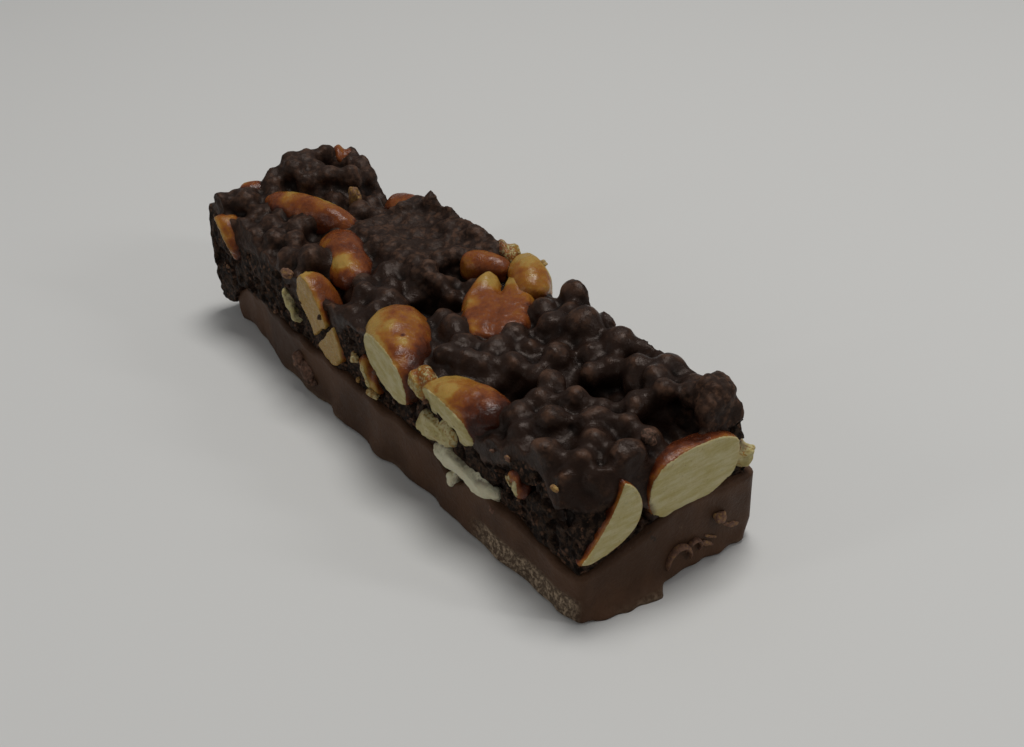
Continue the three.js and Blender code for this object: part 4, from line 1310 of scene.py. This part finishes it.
class BAR_OT_flakes(Operator):
    """Make the loose crumbs, chips and shavings that cling to the bar"""
    bl_idname = "bar.flakes"
    bl_label = "Loose flakes"

    def execute(self, context):
        settings = context.scene.bar_flakes
        random = np.random.default_rng(settings.seed)
        rows = list(FLAKES)
        for _ in range(SCATTERED_CRUMBS):
            x, z = random.uniform(-46, 40), random.uniform(8.8, 17.5)
            side = -1 if random.uniform() < 0.6 else 1
            size = random.uniform(0.4, 0.9, 3)
            at = (x, side * (HALF_WIDTH - 0.1), z)
            rows.append((CRUMB, at, tuple(size), (0, 0, 0), random.uniform(0.45, 0.95)))
        carriers = [BVHTree.FromObject(piece, context.evaluated_depsgraph_get())
                    for piece in bpy.data.objects
                    if piece.name in ("milk_slab", "crisped_mass") or piece.name.endswith("_nut")]
        flakes = []
        for index, (kind, at, size, turn, tone) in enumerate(rows):
            flake = flake_body(kind, at, size, turn, index)
            press_on(flake, carriers)
            store(flake, "tone", np.full(len(flake.data.vertices), tone))
            flakes.append(flake)
        select_only(*flakes)
        bpy.ops.object.join()
        flakes[0].name = flakes[0].data.name = "loose_flakes"
        finish_piece(flakes[0], flake_material(settings), "coated_crisps")
        return {"FINISHED"}


# Stage, camera and lights

CAMERA_AT = (144.03, -88.6, 113.96)
CAMERA_RIGHT = (0.5859, 0.8098, -0.0301)
CAMERA_UP = (-0.4212, 0.3361, 0.8424)


class BAR_OT_stage(Operator):
    """Make the pale floor, the soft lights and the camera"""
    bl_idname = "bar.stage"
    bl_label = "Stage"

    def execute(self, context):
        settings = context.scene.bar_stage
        scene = context.scene
        scene.view_settings.view_transform = "Standard"
        bpy.ops.object.select_all(action="DESELECT")
        bpy.ops.mesh.primitive_plane_add(size=6, location=(0, 0, 0))
        floor = start_piece("floor")
        material, tree, shader = new_material("pale_floor")
        shader.inputs["Base Color"].default_value = (*settings.floor_colour, 1)
        shader.inputs["Roughness"].default_value = 0.62
        shader.inputs["Specular IOR Level"].default_value = 0.25
        floor.data.materials.append(material)
        world = scene.world or bpy.data.worlds.new("room")
        scene.world = world
        world.use_nodes = True
        room = world.node_tree.nodes["Background"]
        room.inputs["Color"].default_value = (1, 1, 1, 1)
        room.inputs["Strength"].default_value = settings.sky
        self.add_light("ceiling_light", (-60, 160, 700), (260, 260), settings.ceiling, (1, 0.985, 0.96))
        self.add_light("window_light", (330, 250, 260), (44, 110), settings.window, (1, 1, 1))
        self.add_light("far_window_light", (-90, -420, 230), (44, 170), 0.6 * settings.window, (1, 1, 1))
        lens = bpy.data.cameras.new("camera")
        lens.lens = settings.lens
        lens.sensor_width = 36
        lens.clip_start = 0.01
        lens.clip_end = 20
        camera = bpy.data.objects.new("camera", lens)
        scene.collection.objects.link(camera)
        right, up = Vector(CAMERA_RIGHT).normalized(), Vector(CAMERA_UP).normalized()
        back = right.cross(up).normalized()
        up = back.cross(right)
        turn = Matrix((right, up, back)).transposed().to_4x4()
        camera.matrix_world = Matrix.Translation(Vector(CAMERA_AT) * MM) @ turn
        scene.camera = camera
        return {"FINISHED"}

    @staticmethod
    def add_light(name, at, size, power, colour):
        """Hangs a soft light of a given width and height in millimetres, facing the bar's middle."""
        data = bpy.data.lights.new(name, "AREA")
        data.shape = "RECTANGLE"
        data.size, data.size_y = size[0] * MM, size[1] * MM
        data.energy = power
        data.color = colour
        light = bpy.data.objects.new(name, data)
        bpy.context.scene.collection.objects.link(light)
        light.location = Vector(at) * MM
        light.rotation_euler = (Vector((0, 0, 12 * MM)) - light.location).to_track_quat("-Z", "Y").to_euler()


class BAR_PT_panel(Panel):
    """Lists the bar's settings and the operators that make it"""
    bl_label = "Peanut bar"
    bl_idname = "BAR_PT_panel"
    bl_space_type = "VIEW_3D"
    bl_region_type = "UI"
    bl_category = "Peanut bar"

    def draw(self, context):
        for settings, operator in (
            (context.scene.bar_slab, BAR_OT_slab.bl_idname),
            (context.scene.bar_crisps, BAR_OT_crisps.bl_idname),
            (context.scene.bar_peanuts, BAR_OT_peanuts.bl_idname),
            (context.scene.bar_flakes, BAR_OT_flakes.bl_idname),
            (context.scene.bar_stage, BAR_OT_stage.bl_idname),
        ):
            box = self.layout.box()
            for name in settings.bl_rna.properties.keys():
                if name not in ("rna_type", "name"):
                    box.prop(settings, name)
            box.operator(operator)


SETTINGS = {
    "bar_slab": SlabSettings,
    "bar_crisps": CrispSettings,
    "bar_peanuts": PeanutSettings,
    "bar_flakes": FlakeSettings,
    "bar_stage": StageSettings,
}
CLASSES = (*SETTINGS.values(), BAR_OT_slab, BAR_OT_crisps, BAR_OT_peanuts, BAR_OT_flakes, BAR_OT_stage,
           BAR_PT_panel)


def register():
    for made in CLASSES:
        bpy.utils.register_class(made)
    for name, group in SETTINGS.items():
        setattr(bpy.types.Scene, name, PointerProperty(type=group))


def unregister():
    for name in SETTINGS:
        delattr(bpy.types.Scene, name)
    for made in reversed(CLASSES):
        bpy.utils.unregister_class(made)


def main():
    register()
    bpy.ops.bar.slab()
    bpy.ops.bar.crisps()
    bpy.ops.bar.peanuts()
    bpy.ops.bar.flakes()
    bpy.ops.bar.stage()


if __name__ == "__main__":
    main()
